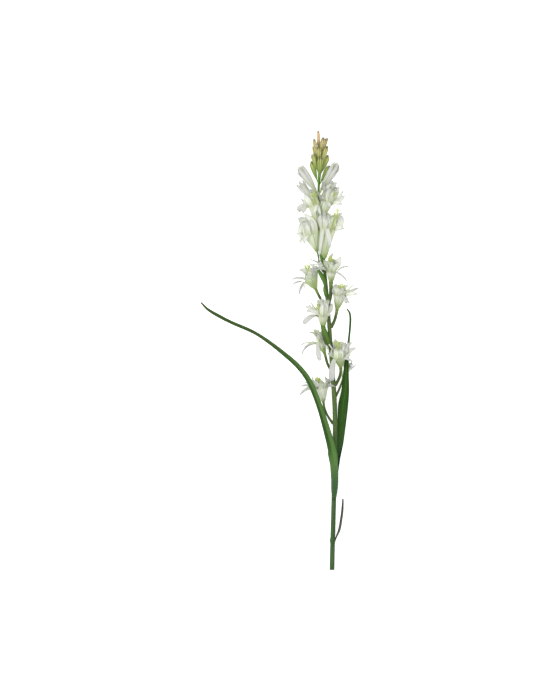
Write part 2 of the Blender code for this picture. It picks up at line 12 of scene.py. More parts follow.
from math import atan2, cos, exp, pi, sin
from random import Random

import bmesh
import bpy
from mathutils import Matrix, Vector


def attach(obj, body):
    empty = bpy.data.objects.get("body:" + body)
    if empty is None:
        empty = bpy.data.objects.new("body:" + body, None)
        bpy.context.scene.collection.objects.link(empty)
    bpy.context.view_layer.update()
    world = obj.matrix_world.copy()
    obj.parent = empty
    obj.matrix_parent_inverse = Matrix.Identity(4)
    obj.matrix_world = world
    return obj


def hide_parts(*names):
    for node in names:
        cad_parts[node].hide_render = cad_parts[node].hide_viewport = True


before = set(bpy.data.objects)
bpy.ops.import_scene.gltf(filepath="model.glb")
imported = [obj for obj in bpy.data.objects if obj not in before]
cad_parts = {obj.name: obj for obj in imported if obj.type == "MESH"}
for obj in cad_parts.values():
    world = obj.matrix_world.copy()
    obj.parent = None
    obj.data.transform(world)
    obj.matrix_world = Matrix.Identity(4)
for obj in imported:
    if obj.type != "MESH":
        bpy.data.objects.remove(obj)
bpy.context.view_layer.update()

MM = 0.001
ORIGIN = Vector((-89.0, 373.2, 0.0))
UP = Vector((0.0, 0.0, 1.0))
ASLANT = Vector((0.3, 0.0, 1.0))  # a way that no bar or bud sets out along
REST_HEIGHT = 3.0                 # soft parts bend along the surface from this height down
SEAT = 0.3                        # where a stalk's own length starts, outside the stem
SUNK = 0.8                        # how far the foot of a stalk or tube is let into the stem
PETALS = 6

# The stem's middle line and thickness, from the cut end to the topmost bud, and how many steps its
# curve takes from one of these points to the next.
STEM = [
    # x, y, z, diameter
    (0.0, 0.0, 4.35, 8.4), (1.2, 52.0, 5.25, 8.1), (3.0, 119.0, 6.7, 8.1), (3.9, 170.0, 9.0, 8.1),
    (5.1, 221.0, 12.5, 8.2), (5.1, 255.0, 15.0, 8.2), (3.4, 297.5, 18.0, 8.0),
    (-0.9, 357.0, 21.5, 7.4), (-4.3, 408.0, 23.5, 6.9), (-7.7, 450.5, 24.8, 6.2),
    (-10.2, 484.5, 25.2, 5.6), (-13.6, 518.5, 25.2, 5.0), (-14.5, 547.0, 25.0, 4.3),
    (-19.6, 578.0, 24.6, 3.8), (-22.1, 612.0, 24.0, 3.3), (-23.0, 646.0, 23.2, 3.8),
    (-21.6, 671.5, 22.5, 5.0), (-22.4, 697.0, 21.7, 4.4), (-22.6, 714.0, 21.2, 3.6),
]
STEM_SPAN = 8

LEAF_NODE = (50.0, 1.1, 3.0)  # the ring where the low leaf grows: its place, height and half width

# Each floret: the skin of its petals where it isn't the plain one, the radius of its stalk, its
# girth (the width of its mouth, as a share of TUBE_PROFILE's), where it leaves the stem, its foot,
# its mouth (where the petals part), how far the stamens stand past the mouth, and its six petal
# tips, from the right over the front to the left and round behind. Where the stalk is 0, the tube
# grows from the stem.
FLORETS = [
    dict(name="floret_01", skin="pale_petal", stalk=1.8, girth=1.15, leaves_at=250.0,
         foot=(-14.8, 286.0, 13.5), mouth=(-17.0, 306.5, 13.0), stamens=20.0,
         tips=[(-9.5, 324.0, 10.0), (4.5, 311.5, 28.0), (-43.0, 321.0, 22.0),
               (-53.5, 312.0, 12.0), (-53.7, 298.0, 2.0), (-27.0, 326.0, -4.0)]),
    dict(name="floret_02", stalk=1.7, girth=0.6, leaves_at=297.0,
         foot=(19.0, 325.0, 9.0), mouth=(25.0, 340.0, 7.5), stamens=10.0,
         tips=[(40.0, 349.0, 6.0), (34.0, 354.0, 14.0), (25.0, 358.0, 15.0),
               (18.5, 357.0, 8.0), (23.0, 354.0, -3.0), (36.0, 349.0, -4.0)]),
    dict(name="floret_03", skin="green_petal", stalk=2.2, girth=1.2, leaves_at=316.0,
         foot=(14.4, 345.0, 25.0), mouth=(12.3, 360.0, 30.0), stamens=30.0,
         tips=[(39.0, 377.0, 30.0), (33.5, 355.0, 44.0), (-0.5, 322.5, 33.0),
               (-7.3, 369.0, 36.0), (6.0, 392.0, 28.0), (32.5, 387.0, 27.0)]),
    dict(name="floret_04", stalk=2.0, girth=0.85, leaves_at=343.0,
         foot=(-13.3, 369.8, 17.0), mouth=(-18.5, 384.0, 15.0), stamens=24.0,
         tips=[(-8.0, 402.0, 14.0), (-30.0, 409.0, 26.0), (-21.0, 356.5, 27.0),
               (-51.5, 365.5, 18.0), (-39.0, 387.0, 2.0), (-38.0, 405.0, -2.0)]),
    dict(name="floret_05", stalk=3.2, girth=1.1, leaves_at=380.0,
         foot=(-15.3, 413.0, 31.0), mouth=(-16.4, 430.0, 34.0), stamens=22.0,
         tips=[(-1.0, 452.0, 32.0), (-2.0, 432.0, 52.0), (-44.0, 440.0, 48.0),
               (-47.5, 418.5, 36.0), (-45.0, 447.0, 22.0), (-23.0, 456.0, 8.0)]),
    dict(name="floret_06", stalk=2.3, girth=1.35, leaves_at=414.0,
         foot=(8.3, 443.0, 27.0), mouth=(12.5, 465.0, 29.5), stamens=19.0,
         tips=[(44.5, 479.0, 24.0), (42.0, 469.0, 38.0), (29.0, 452.5, 48.0),
               (1.0, 480.0, 38.0), (8.0, 486.0, 14.0), (27.5, 483.0, -3.0)]),
    dict(name="floret_07", skin="green_petal", stalk=2.1, girth=1.4, leaves_at=449.0,
         foot=(-28.0, 477.5, 21.0), mouth=(-35.0, 492.0, 20.0), stamens=24.0,
         tips=[(-32.5, 514.0, 18.0), (-36.0, 513.0, 36.0), (-69.0, 492.0, 21.0),
               (-67.0, 484.0, 8.0), (-55.8, 468.0, -2.0), (-54.5, 510.0, 4.0)]),
    dict(name="floret_08", stalk=2.8, girth=1.0, leaves_at=458.0,
         foot=(-2.2, 489.0, 32.0), mouth=(-1.4, 505.0, 35.0), stamens=25.0,
         tips=[(28.5, 516.0, 30.0), (24.5, 490.0, 46.0), (-33.0, 512.0, 52.0),
               (-37.5, 527.0, 42.0), (1.0, 537.0, 30.0), (15.0, 531.0, 22.0)]),
    dict(name="floret_09", skin="pale_petal", stalk=1.3, girth=1.7, leaves_at=508.0,
         foot=(-25.5, 541.0, 23.5), mouth=(-34.0, 567.0, 22.0), stamens=20.0,
         tips=[(-30.0, 592.0, 20.0), (-47.0, 604.0, 34.0), (-48.0, 555.0, 40.0),
               (-59.5, 572.0, 24.0), (-54.5, 557.0, -1.0), (-57.0, 598.0, 6.0)]),
    dict(name="floret_10", stalk=0.0, girth=1.6, leaves_at=530.0,
         foot=(-14.0, 550.0, 32.0), mouth=(-8.0, 576.0, 31.5), stamens=36.0,
         tips=[(18.0, 592.0, 22.0), (19.0, 580.0, 42.0), (-4.0, 548.0, 50.0),
               (-12.5, 606.0, 38.0), (-2.0, 604.0, -2.0), (16.0, 607.0, 12.0)]),
    dict(name="floret_11", stalk=0.0, girth=1.25, leaves_at=588.0,
         foot=(-25.5, 602.0, 27.0), mouth=(-30.0, 617.0, 27.5), stamens=26.0,
         tips=[(-28.0, 644.0, 33.0), (-31.5, 603.0, 46.0), (-47.0, 636.0, 42.0),
               (-50.0, 606.0, 34.0), (-57.5, 611.0, 21.0), (-37.0, 646.0, 19.0)]),
    dict(name="floret_12", stalk=0.0, girth=1.1, leaves_at=600.0,
         foot=(-15.5, 611.0, 27.0), mouth=(-8.0, 624.0, 30.0), stamens=18.0,
         tips=[(20.5, 635.0, 26.0), (16.5, 621.0, 42.0), (-4.0, 615.0, 48.0),
               (-10.0, 646.0, 42.0), (8.0, 649.0, 24.0), (11.0, 641.0, 14.0)]),
]

# Closed buds: where each leaves the stem, a point at its fullest, its tip and its thickness.
WHITE_BUDS = [
    ("white_bud_01", 612.0, (-44.5, 645.0, 6.4), (-57.0, 661.0, 5.4), 10.5),
    ("white_bud_02", 622.0, (-7.0, 647.0, 7.4), (6.0, 659.0, 5.4), 10.5),
    ("white_bud_03", 638.0, (-43.5, 667.0, 28.0), (-56.5, 685.0, 28.0), 12.5),
    ("white_bud_04", 641.0, (-3.5, 670.0, 28.5), (9.5, 691.0, 29.5), 12.5),
]
GREEN_BUDS = [
    ("green_bud_01", 660.0, (-32.0, 684.0, 20.0), (-35.5, 694.5, 19.5), 8.0),
    ("green_bud_02", 657.0, (-9.5, 678.0, 20.5), (-4.0, 687.0, 20.5), 7.6),
    ("green_bud_03", 667.0, (-20.5, 691.0, 33.0), (-20.0, 702.0, 34.5), 7.8),
    ("green_bud_04", 666.0, (-21.5, 690.0, 11.0), (-21.5, 701.0, 9.5), 7.4),
    ("green_bud_05", 674.0, (-10.5, 695.0, 17.0), (-6.5, 705.0, 16.0), 7.8),
    ("green_bud_06", 677.0, (-30.5, 697.5, 26.0), (-33.5, 707.0, 27.0), 7.4),
    ("green_bud_07", 688.0, (-11.5, 710.0, 26.5), (-8.5, 720.0, 28.0), 7.2),
    ("green_bud_08", 690.0, (-29.0, 712.0, 17.0), (-31.5, 722.0, 16.0), 7.0),
    ("green_bud_09", 693.0, (-22.5, 708.5, 30.5), (-23.0, 719.5, 33.0), 6.8),
    ("green_bud_10", 699.0, (-12.5, 724.5, 19.0), (-8.5, 734.5, 17.5), 5.6),
    ("green_bud_11", 704.0, (-29.0, 723.5, 24.5), (-31.0, 732.0, 25.0), 5.4),
    ("green_bud_12", 706.0, (-16.5, 725.0, 26.5), (-14.5, 735.0, 28.0), 6.0),
]
TOP_BUD = ("top_bud", (-23.3, 746.4, 20.6), 5.6)

# Leaves: middle line, width and the way the blade faces, from the stem to the tip. hug is how far
# round the stem the foot of the blade wraps, as a radius of its cross section; 0 is flat. channel
# is the arc, in radians, that the rest of the blade is bent round across, fold how high its edges
# stand over its middle, as a share of its half width, and ripple how high they wave.
LEAVES = [
    dict(name="leaf_left", thickness=1.1, channel=0.3, fold=0.42, ripple=0.5, path=[
        # x, y, z, width, facing (x, z), hug radius
        (3.4, 120.0, 11.4, 7.0, (0.0, 1.0), 4.8), (4.2, 138.0, 12.4, 14.0, (0.0, 1.0), 6.2),
        (4.6, 153.0, 13.5, 14.6, (0.0, 1.0), 7.0), (3.4, 178.0, 16.5, 14.8, (0.0, 1.0), 9.0),
        (-0.2, 204.0, 21.0, 15.2, (0.05, 1.0), 0),
        (-8.6, 236.0, 26.0, 12.8, (0.1, 1.0), 0), (-22.0, 280.0, 30.5, 10.6, (0.1, 1.0), 0),
        (-40.0, 323.0, 33.0, 9.8, (0.0, 1.0), 0), (-59.0, 348.0, 33.0, 9.0, (-0.2, 1.0), 0),
        (-86.0, 372.0, 30.5, 8.2, (-0.7, 1.0), 0), (-110.0, 390.0, 26.5, 7.6, (-1.3, 1.0), 0),
        (-134.0, 405.0, 21.5, 6.8, (-1.9, 1.0), 0), (-170.0, 421.0, 13.0, 6.4, (-1.6, 1.0), 0),
        (-194.0, 433.0, 7.0, 6.2, (-0.4, 1.0), 0), (-212.0, 444.0, 2.8, 4.6, (-0.6, 1.0), 0),
        (-223.0, 455.0, 1.0, 2.4, (0.0, 1.0), 0)]),
    dict(name="leaf_right", thickness=1.1, channel=-0.3, fold=-0.42, ripple=0.6, path=[
        (7.9, 150.0, 6.4, 5.5, (0.85, -0.5), 4.9), (9.8, 172.0, 6.0, 7.5, (0.7, -0.7), 5.2),
        (14.0, 214.0, 5.0, 11.0, (0.0, -1.0), 0), (16.5, 247.0, 3.6, 15.0, (0.0, -1.0), 0),
        (19.0, 280.0, 6.0, 17.5, (0.0, -1.0), 0), (22.5, 303.0, 12.5, 14.5, (0.15, -1.0), 0),
        (24.0, 328.0, 17.5, 11.0, (0.25, -1.0), 0), (25.0, 353.0, 20.0, 8.4, (0.6, -1.0), 0),
        (27.5, 380.0, 19.5, 7.0, (1.1, -1.0), 0), (30.6, 405.0, 17.0, 6.2, (1.5, -1.0), 0),
        (32.0, 426.0, 14.0, 5.4, (1.5, -1.0), 0), (30.0, 437.0, 12.0, 4.4, (1.3, -1.0), 0),
        (25.2, 444.0, 10.5, 2.2, (1.0, -1.0), 0)]),
    dict(name="leaf_low", thickness=2.6, channel=0.6, fold=0.1, ripple=0.1, path=[
        (5.2, 50.0, 4.3, 5.0, (1.0, 0.0), 4.9), (9.2, 60.0, 4.5, 6.5, (1.0, 0.3), 0),
        (12.6, 70.0, 4.4, 7.0, (1.0, 0.5), 0), (16.3, 92.5, 4.2, 6.6, (1.0, 0.6), 0),
        (18.2, 110.5, 3.4, 4.8, (1.0, 0.6), 0), (18.7, 121.0, 2.4, 2.4, (1.0, 0.6), 0)]),
]

# Small bracts in the axils of the upper florets: foot on the stem, tip, width.
BRACTS = [
    ("bract_01", 464.0, (-14.0, 483.0, 33.5), 8.0),
    ("bract_02", 444.0, (-1.0, 470.0, 24.0), 8.0),
    ("bract_03", 482.0, (-27.5, 517.0, 33.0), 17.0),
    ("bract_04", 517.0, (-20.5, 538.0, 39.0), 7.0),
]

# The sheath round the stalk of the fifth floret: middle line and width.
SHEATH = [(-1.4, 367.0, 26.0, 5.0), (-3.6, 378.0, 27.8, 9.0), (-8.2, 392.0, 31.0, 9.6),
          (-13.0, 406.0, 34.2, 9.0), (-17.0, 417.0, 36.0, 6.0), (-19.0, 424.0, 36.8, 1.5)]

# How bracts are shaped, and the sheath with them.
BRACT_OUTLINE = [(0.0, 0.7), (0.3, 1.0), (0.6, 0.85), (0.85, 0.45), (1.0, 0.12)]
BRACT_RISE = 6.0             # how far a bract's first handle goes up the stem from its foot
BRACT_ARRIVAL = 8.0          # and its last one down from its tip
BRACT_HUG = 6.5              # radius of the cross section
BRACT_THICKNESS = 0.9
BRACT_RIBS = 5

# A floret's tube, foot to mouth: share of its length, radius.
TUBE_PROFILE = [(0.0, 2.6), (0.16, 4.0), (0.5, 6.0), (0.8, 7.4), (1.0, 8.2)]
TUBE_HANDLE = 0.5            # first handle of a tube without a stalk, as a share of its reach
FULL_REACH = 28.0            # a petal that reaches less than this is narrower
PETAL_LEAVES = (0.88, 0.5)   # the way a petal leaves the mouth: share along the tube, share outward
PETAL_BEND = 0.36            # how long a petal's handles are, as a share of its reach
PETAL_TWIST = 1.1            # how fast a petal's width turns from round the tube to across its arc
ROUND_SHARE = 0.35           # how much of the first of these stays in the second
STEEP = pi / 3               # a petal that has to turn by more than this droops less at its tip
PETAL_VEINS = 16.0           # how far its veins turn, in radians, over half its width

# How stalks and buds leave the stem.
STALK_RISE = 1.2             # a floret's stalk starts up the stem by this much for 1 away from it
STALK_HANDLES = (0.35, 0.4)  # how long its handles are, as shares of its reach
BUD_RISE = 2.0               # a bud's stalk starts up the stem by this much for 1 away from it
BUD_BEND = 0.3               # how long its first handle is, as a share of its reach
BUD_LEAN = 0.6               # its last one goes back from where it is fullest, by this share of the
                             # way from there to its tip


# ------------------------------------------------------------------ nodes

class Wire:
    """One output of a node. Arithmetic on wires adds the Math nodes that work it out."""

    def __init__(self, tree, socket):
        self.tree = tree
        self.socket = socket

    def math(self, operation, *others):
        """A Math node on this wire, and on the wires or numbers that come after it."""
        return self.tree.math(operation, self, *others)

    def wave(self):
        """Goes between 0 and 1 once for each full turn of this wire, in radians."""
        return self.math("SINE") * 0.5 + 0.5

    def __abs__(self):
        return self.math("ABSOLUTE")

    def __add__(self, other):
        return self.math("ADD", other)

    def __sub__(self, other):
        return self.math("SUBTRACT", other)

    def __rsub__(self, other):
        return self.tree.math("SUBTRACT", other, self)

    def __mul__(self, other):
        return self.math("MULTIPLY", other)

    def __pow__(self, other):
        return self.math("POWER", other)

    __radd__ = __add__
    __rmul__ = __mul__


class Tree:
    """A node tree that is being built, of a material or of geometry."""

    def __init__(self, nodes_of):
        self.tree = nodes_of

    def add(self, kind, settings=None, sockets=None, output=0):
        """Adds a node: its settings first, then a value or a wire for each socket it names."""
        node = self.tree.nodes.new(kind)
        for name, value in (settings or {}).items():
            setattr(node, name, value)
        for key, value in (sockets or {}).items():
            self.feed(node.inputs[key], value)
        return Wire(self, node.outputs[output])

    def feed(self, socket, value):
        """Links a wire to a socket, or sets the socket to a value."""
        if isinstance(value, Wire):
            self.tree.links.new(value.socket, socket)
        else:
            socket.default_value = value

    def math(self, operation, *values):
        return self.add("ShaderNodeMath", {"operation": operation}, dict(enumerate(values)))

    def vector_math(self, operation, *values):
        return self.add("ShaderNodeVectorMath", {"operation": operation}, dict(enumerate(values)))

    def vector(self, x=0.0, y=0.0, z=0.0):
        return self.add("ShaderNodeCombineXYZ", sockets={0: x, 1: y, 2: z})

    def split(self, vector):
        """A vector's three numbers, each as a wire."""
        parts = self.add("ShaderNodeSeparateXYZ", sockets={0: vector})
        return [Wire(self, socket) for socket in parts.socket.node.outputs]

    def join(self, *geometries):
        """Several geometries as one."""
        joined = self.add("GeometryNodeJoinGeometry")
        for geometry in geometries:
            self.feed(joined.socket.node.inputs[0], geometry)
        return joined

    def step(self, value, start, end, low=0.0, high=1.0):
        """Goes smoothly from low to high while the value goes from start to end."""
        return self.add("ShaderNodeMapRange", {"interpolation_type": "SMOOTHSTEP"},
                        {0: value, 1: start, 2: end, 3: low, 4: high})

    def blend(self, share, first, second):
        """A colour that goes from the first to the second as the share goes from 0 to 1."""
        return self.add("ShaderNodeMix", {"data_type": "RGBA"}, {0: share, 6: first, 7: second}, 2)

    def noise(self, vector, stretch, scale=1.0, detail=2.0):
        """Noise from about 0.3 to 0.7 in a vector whose parts are first multiplied by stretch."""
        spread = self.vector_math("MULTIPLY", vector, stretch)
        return self.add("ShaderNodeTexNoise",
                        sockets={"Vector": spread, "Scale": scale, "Detail": detail})

    def bump(self, height, depth, strength=1.0):
        """A bumpy normal, for a height from 0 to 1 that stands for depth in metres."""
        return self.add("ShaderNodeBump",
                        sockets={"Height": height, "Distance": depth, "Strength": strength})

    def grain(self):
        """The attribute that every piece carries, as the top of this file says."""
        return self.add("ShaderNodeAttribute", {"attribute_name": "grain"}, output="Vector")

    def place(self):
        """Where a point is in the part's own frame, in metres."""
        return self.add("ShaderNodeTexCoord", output="Object")


def looks(red, green, blue):
    """A colour that is given as it looks, in sRGB from 0 to 1, as a shader takes it."""
    parts = [c / 12.92 if c < 0.04045 else ((c + 0.055) / 1.055) ** 2.4 for c in (red, green, blue)]
    return (*parts, 1.0)


def material(name, dress, constants):
    """A material whose changing sockets come from dress(tree) and whose others are constants."""
    made = bpy.data.materials.new(name)
    made.use_nodes = True
    tree = Tree(made.node_tree)
    shader = made.node_tree.nodes["Principled BSDF"]
    for socket, value in {**constants, **dress(tree)}.items():
        tree.feed(shader.inputs[socket], value)
    return made


# -------------------------------------------------------------- materials

STEM_LOW = looks(0.235, 0.37, 0.21)
STEM_HIGH = looks(0.38, 0.45, 0.25)
STEM_FRESH = looks(0.36, 0.52, 0.18)
STEM_SHADE = looks(0.20, 0.32, 0.12)
PITH = looks(0.66, 0.70, 0.48)
OLIVE = looks(0.31, 0.37, 0.19)
OLIVE_LIGHT = looks(0.50, 0.58, 0.32)
# Leaf green in painted shade, for the far part of a blade that turns edge-on.
LEAF_FAR_SHADE = looks(0.25, 0.34, 0.15)
PETAL_WHITE = looks(0.97, 0.98, 0.94)
# Petal white in painted shade, for tips and for strips of a high shade.
PETAL_GREY = looks(0.74, 0.745, 0.74)
BUD_WHITE = looks(0.88, 0.88, 0.86)
# Petal grey for the painted shade along rims.
PETAL_EDGE = looks(0.62, 0.65, 0.58)
PETAL_GREEN = looks(0.60, 0.70, 0.40)
PETAL_STREAK = looks(0.79, 0.85, 0.61)
BUD_FRESH = looks(0.45, 0.60, 0.26)
BUD_GREEN = looks(0.69, 0.74, 0.41)
BUD_SHADE = looks(0.36, 0.40, 0.17)
BUD_BLUSH = looks(0.82, 0.74, 0.54)
TIP_TAN = looks(0.80, 0.68, 0.53)
TIP_DARK = looks(0.34, 0.33, 0.22)
THREAD_PALE = looks(0.76, 0.82, 0.52)
ANTHER_YELLOW = looks(0.74, 0.79, 0.44)
BOARD_WHITES = (looks(0.955, 0.955, 0.955), looks(0.965, 0.965, 0.965))
WHITE_LIGHT = (1.0, 1.0, 1.0, 1.0)

# Where colours change along the part, in metres from its middle towards the topmost bud.
CUT_END = (-0.3732, -0.3705)
STEM_TURNS = (-0.30, 0.0)
STEM_FRESHENS = (0.22, 0.29)
BUDS_PALE = (0.285, 0.325)
BUDS_BLUSH = (0.325, 0.385)


def stem_dress(tree):
    """Green skin with fine lengthwise fibres and painted shade on both flanks, deeper on the right
    one, away from the light; dark at the cut, yellower towards the flowers and a fresh green below
    the buds."""
    grain = tree.grain()
    east, _, _ = tree.split(grain)
    _, up_it, _ = tree.split(tree.place())
    fibres = tree.noise(grain, (9.0, 9.0, 26.0))
    patches = tree.noise(grain, (1.5, 1.5, 34.0), detail=3.0)
    base = tree.blend(tree.step(up_it, *STEM_TURNS), STEM_LOW, STEM_HIGH)
    ended = tree.blend(tree.step(up_it, *CUT_END), STEM_SHADE, base)
    fresh = tree.blend(tree.step(up_it, *STEM_FRESHENS), ended, STEM_FRESH)
    # Painted shade on the flanks: the light falls from the upper left, so the right one is darker.
    flank_shade = tree.step(abs(east + 0.25), 0.50, 1.0, 0.0, 0.9)
    flank_shaded = tree.blend(flank_shade, fresh, STEM_SHADE)
    shaded = tree.blend(tree.step(fibres, 0.42, 0.68, 0.0, 0.45), flank_shaded, STEM_SHADE)
    spotted = tree.blend(tree.step(patches, 0.52, 0.70, 0.0, 0.2), shaded, OLIVE_LIGHT)
    return {"Base Color": spotted, "Roughness": tree.step(patches, 0.3, 0.7, 0.42, 0.58),
            "Normal": tree.bump(fibres, 0.0004)}


def stalk_dress(tree):
    """Darker olive skin, lighter where it meets the floret."""
    grain = tree.grain()
    _, _, along = tree.split(grain)
    fibres = tree.noise(grain, (5.0, 5.0, 9.0))
    base = tree.blend(tree.step(along, 0.55, 1.0), OLIVE, OLIVE_LIGHT)
    shaded = tree.blend(tree.step(fibres, 0.45, 0.70, 0.0, 0.6), base, STEM_SHADE)
    return {"Base Color": shaded, "Roughness": tree.step(fibres, 0.3, 0.7, 0.42, 0.60),
            "Normal": tree.bump(fibres, 0.0003)}


def leaf_dress(foot, light, middle, dark, veins, shade_from, painted_shade_side, dark_edges):
    """A leaf's skin: parallel veins, a light band along its middle, edges darker by the share
    dark_edges and a foot of its own colour. Above the foot the half of its fold that faces away
    from the light is darker by the share painted_shade_side, which is painted shade, and from
    shade_from (a share of its length) to its tip it darkens to olive, painted shade where the
    blade turns edge-on."""
    def dress(tree):
        grain = tree.grain()
        across, _, along = tree.split(grain)
        sideways = abs(across)
        wander = tree.noise(grain, (2.0, 2.0, 9.0), detail=3.0)
        ribs = (across * (veins * pi) + wander * 1.5).wave()
        band = tree.blend(tree.step(sideways + wander * 0.3, 0.10, 0.55), light, middle)
        sprung = tree.blend(tree.step(along, 0.10, 0.24), STEM_LOW, foot)
        footed = tree.blend(tree.step(along, 0.16, 0.46), sprung, band)
        edged = tree.blend(tree.step(sideways, 0.62, 1.0, 0.0, dark_edges), footed, dark)
        # Painted shade: the half of the fold that faces away from the light, above the foot.
        fold = tree.step(across + wander * 0.2, 0.35, -0.15, 0.0, painted_shade_side)
        folded = tree.blend(fold * tree.step(along, 0.14, 0.34), edged, dark)
        ribbed = tree.blend(ribs ** 3 * 0.30, folded, dark)
        aged = tree.blend(tree.step(wander, 0.50, 0.72, 0.0, 0.4), ribbed, light)
        # Painted shade: darker olive towards the tip, where the blade turns edge-on.
        tip = tree.blend(tree.step(along, shade_from, shade_from + 0.25, 0.0, 0.75), aged, LEAF_FAR_SHADE)
        return {"Base Color": tip, "Roughness": tree.step(wander, 0.3, 0.7, 0.36, 0.52),
                "Normal": tree.bump(ribs, 0.0004, 0.7)}
    return dress


def bract_dress(light, dark):
    """A small green scale or sheath with parallel ribs and dark edges, lighter towards its tip."""
    def dress(tree):
        grain = tree.grain()
        across, _, along = tree.split(grain)
        ribs = (across * (BRACT_RIBS * pi)).wave()
        base = tree.blend(tree.step(along, 0.1, 0.6, 0.3, 1.0), dark, light)
        ribbed = tree.blend(ribs * 0.4, base, dark)
        edges = tree.step(abs(across), 0.35, 0.75, 0.0, 0.8)
        return {"Base Color": tree.blend(edges, ribbed, dark),
                "Roughness": tree.step(tree.noise(grain, (3.0, 3.0, 5.0)), 0.3, 0.7, 0.4, 0.55),
                "Normal": tree.bump(ribs, 0.0003, 0.6)}
    return dress


def waxy_petal(white, rim_shade, foot, green_end, streak_end):
    """White wax with fine veins, green at its foot and down its middle. Its tip is greyer, painted
    shade where it curls over, and by the share rim_shade its rim is greyer, painted shade that
    outlines it where petals overlap. The foot's green fades out from foot to green_end and the
    middle's by streak_end, as shares of its length. Strips of a low shade are greener and those of
    a high one greyer, the grey being painted shade."""
    def dress(tree):
        grain = tree.grain()
        across, shade, along = tree.split(grain)
        wander = tree.noise(grain, (1.5, 7.0, 4.0), detail=3.0)
        veins = (across * PETAL_VEINS + wander * 3.0).wave() ** 3
        middle = tree.step(abs(across), 0.05, 0.55, 1.0, 0.0)
        green = tree.step(along, foot, green_end, 1.0, 0.0)
        streak = middle * tree.step(along, green_end * 0.6, streak_end, 0.75, 0.0)
        body = tree.blend(streak, white, PETAL_STREAK)
        footed = tree.blend(green, body, PETAL_GREEN)
        veined = tree.blend(veins * tree.step(along, 0.1, 0.7, 0.55, 0.35), footed, PETAL_STREAK)
        throat = tree.step(along, 0.36, 0.44) * tree.step(along, 0.45, 0.85, 0.5, 0.0)
        glowing = tree.blend(throat, veined, PETAL_STREAK)
        # Painted shade: the tip greys where it curls over.
        tipped = tree.blend(tree.step(along, 0.80, 1.0, 0.0, 0.45), glowing, PETAL_GREY)
        # Painted shade along the rim, which outlines petals where they overlap.
        rim = tree.step(abs(across), 0.68, 0.95, 0.0, rim_shade)
        rimmed = tree.blend(rim, tipped, PETAL_EDGE)
        tinted = tree.blend(tree.step(shade, 0.2, 0.45, 0.30, 0.0), rimmed, PETAL_STREAK)
        # Painted shade: strips of a high shade grey over.
        shaded = tree.blend(tree.step(shade, 0.3, 1.5, 0.0, 0.8), tinted, PETAL_GREY)
        return {"Base Color": shaded, "Roughness": tree.step(wander, 0.3, 0.7, 0.38, 0.55),
                "Normal": tree.bump(veins, 0.0006, 0.8)}
    return dress


def green_bud_dress(tree):
    """Green folded buds with dark tips, blushing tan towards the top of the spike."""
    grain = tree.grain()
    across, shade, along = tree.split(grain)
    _, up_it, _ = tree.split(tree.place())
    mottle = tree.noise(grain, (3.0, 9.0, 4.0), detail=3.0)
    low = tree.blend(tree.step(up_it, *BUDS_PALE), BUD_FRESH, BUD_GREEN)
    blush = tree.step(up_it + mottle * 0.02 + shade * 0.01, *BUDS_BLUSH)
    base = tree.blend(blush, low, BUD_BLUSH)
    # Painted shade along the edges of the folds, where they overlap.
    edges = tree.step(abs(across), 0.45, 1.0, 0.0, 0.75)
    edge_shaded = tree.blend(edges, base, BUD_SHADE)
    mottled = tree.blend(tree.step(mottle, 0.50, 0.68, 0.0, 0.6), edge_shaded, BUD_SHADE)
    tipped = tree.blend(tree.step(along, 0.84, 1.0, 0.0, 0.85), mottled, TIP_DARK)
    return {"Base Color": tipped, "Roughness": tree.step(mottle, 0.3, 0.7, 0.42, 0.6),
            "Normal": tree.bump(mottle, 0.0003, 0.5)}


def top_bud_dress(tree):
    """The tan bud at the very top, greener at its foot and dark at its tip."""
    grain = tree.grain()
    across, _, along = tree.split(grain)
    mottle = tree.noise(grain, (3.0, 9.0, 4.0), detail=3.0)
    edges = tree.step(abs(across), 0.45, 1.0, 0.0, 0.5)
    base = tree.blend(edges, TIP_TAN, BUD_BLUSH)
    footed = tree.blend(tree.step(along, 0.15, 0.6, 0.8, 0.0), base, BUD_SHADE)
    tipped = tree.blend(tree.step(along, 0.86, 1.0, 0.0, 0.6), footed, TIP_DARK)
    return {"Base Color": tree.blend(tree.step(mottle, 0.5, 0.75, 0.0, 0.3), tipped, BUD_SHADE),
            "Roughness": tree.step(mottle, 0.3, 0.7, 0.42, 0.6),
            "Normal": tree.bump(mottle, 0.0003, 0.5)}


def stamen_dress(tree):
    """Pale threads and yellow anthers, which have 1 as the first number of their grain."""
    grain = tree.grain()
    anther, _, along = tree.split(grain)
    thread = tree.blend(tree.step(along, 0.0, 0.8), PETAL_STREAK, THREAD_PALE)
    pollen = tree.noise(tree.place(), (1.0, 1.0, 1.0), scale=2500.0)
    dusty = tree.blend(tree.step(pollen, 0.4, 0.7, 0.0, 0.4), ANTHER_YELLOW, OLIVE_LIGHT)
    return {"Base Color": tree.blend(tree.step(anther, 0.4, 0.6), thread, dusty),
            "Roughness": tree.step(pollen, 0.3, 0.7, 0.5, 0.75)}


def cut_dress(tree):
    """The cut face of the stem: pale pith with a green rind. Its grain starts with how far a point
    is from the middle, as a share."""
    away, _, _ = tree.split(tree.grain())
    cells = tree.noise(tree.place(), (1.0, 1.0, 1.0), scale=1400.0)
    face = tree.blend(tree.step(away, 0.55, 0.95), PITH, STEM_SHADE)
    return {"Base Color": tree.blend(tree.step(cells, 0.45, 0.7, 0.0, 0.4), face, OLIVE_LIGHT),
            "Roughness": tree.step(cells, 0.3, 0.7, 0.6, 0.8)}


def floor_dress(tree):
    """Plain pale board with the faintest grain, bright enough to read as white."""
    specks = tree.noise(tree.place(), (1.0, 1.0, 1.0), scale=60.0)
    return {"Base Color": tree.blend(tree.step(specks, 0.3, 0.7), *BOARD_WHITES),
            "Roughness": tree.step(specks, 0.3, 0.7, 0.85, 0.9)}


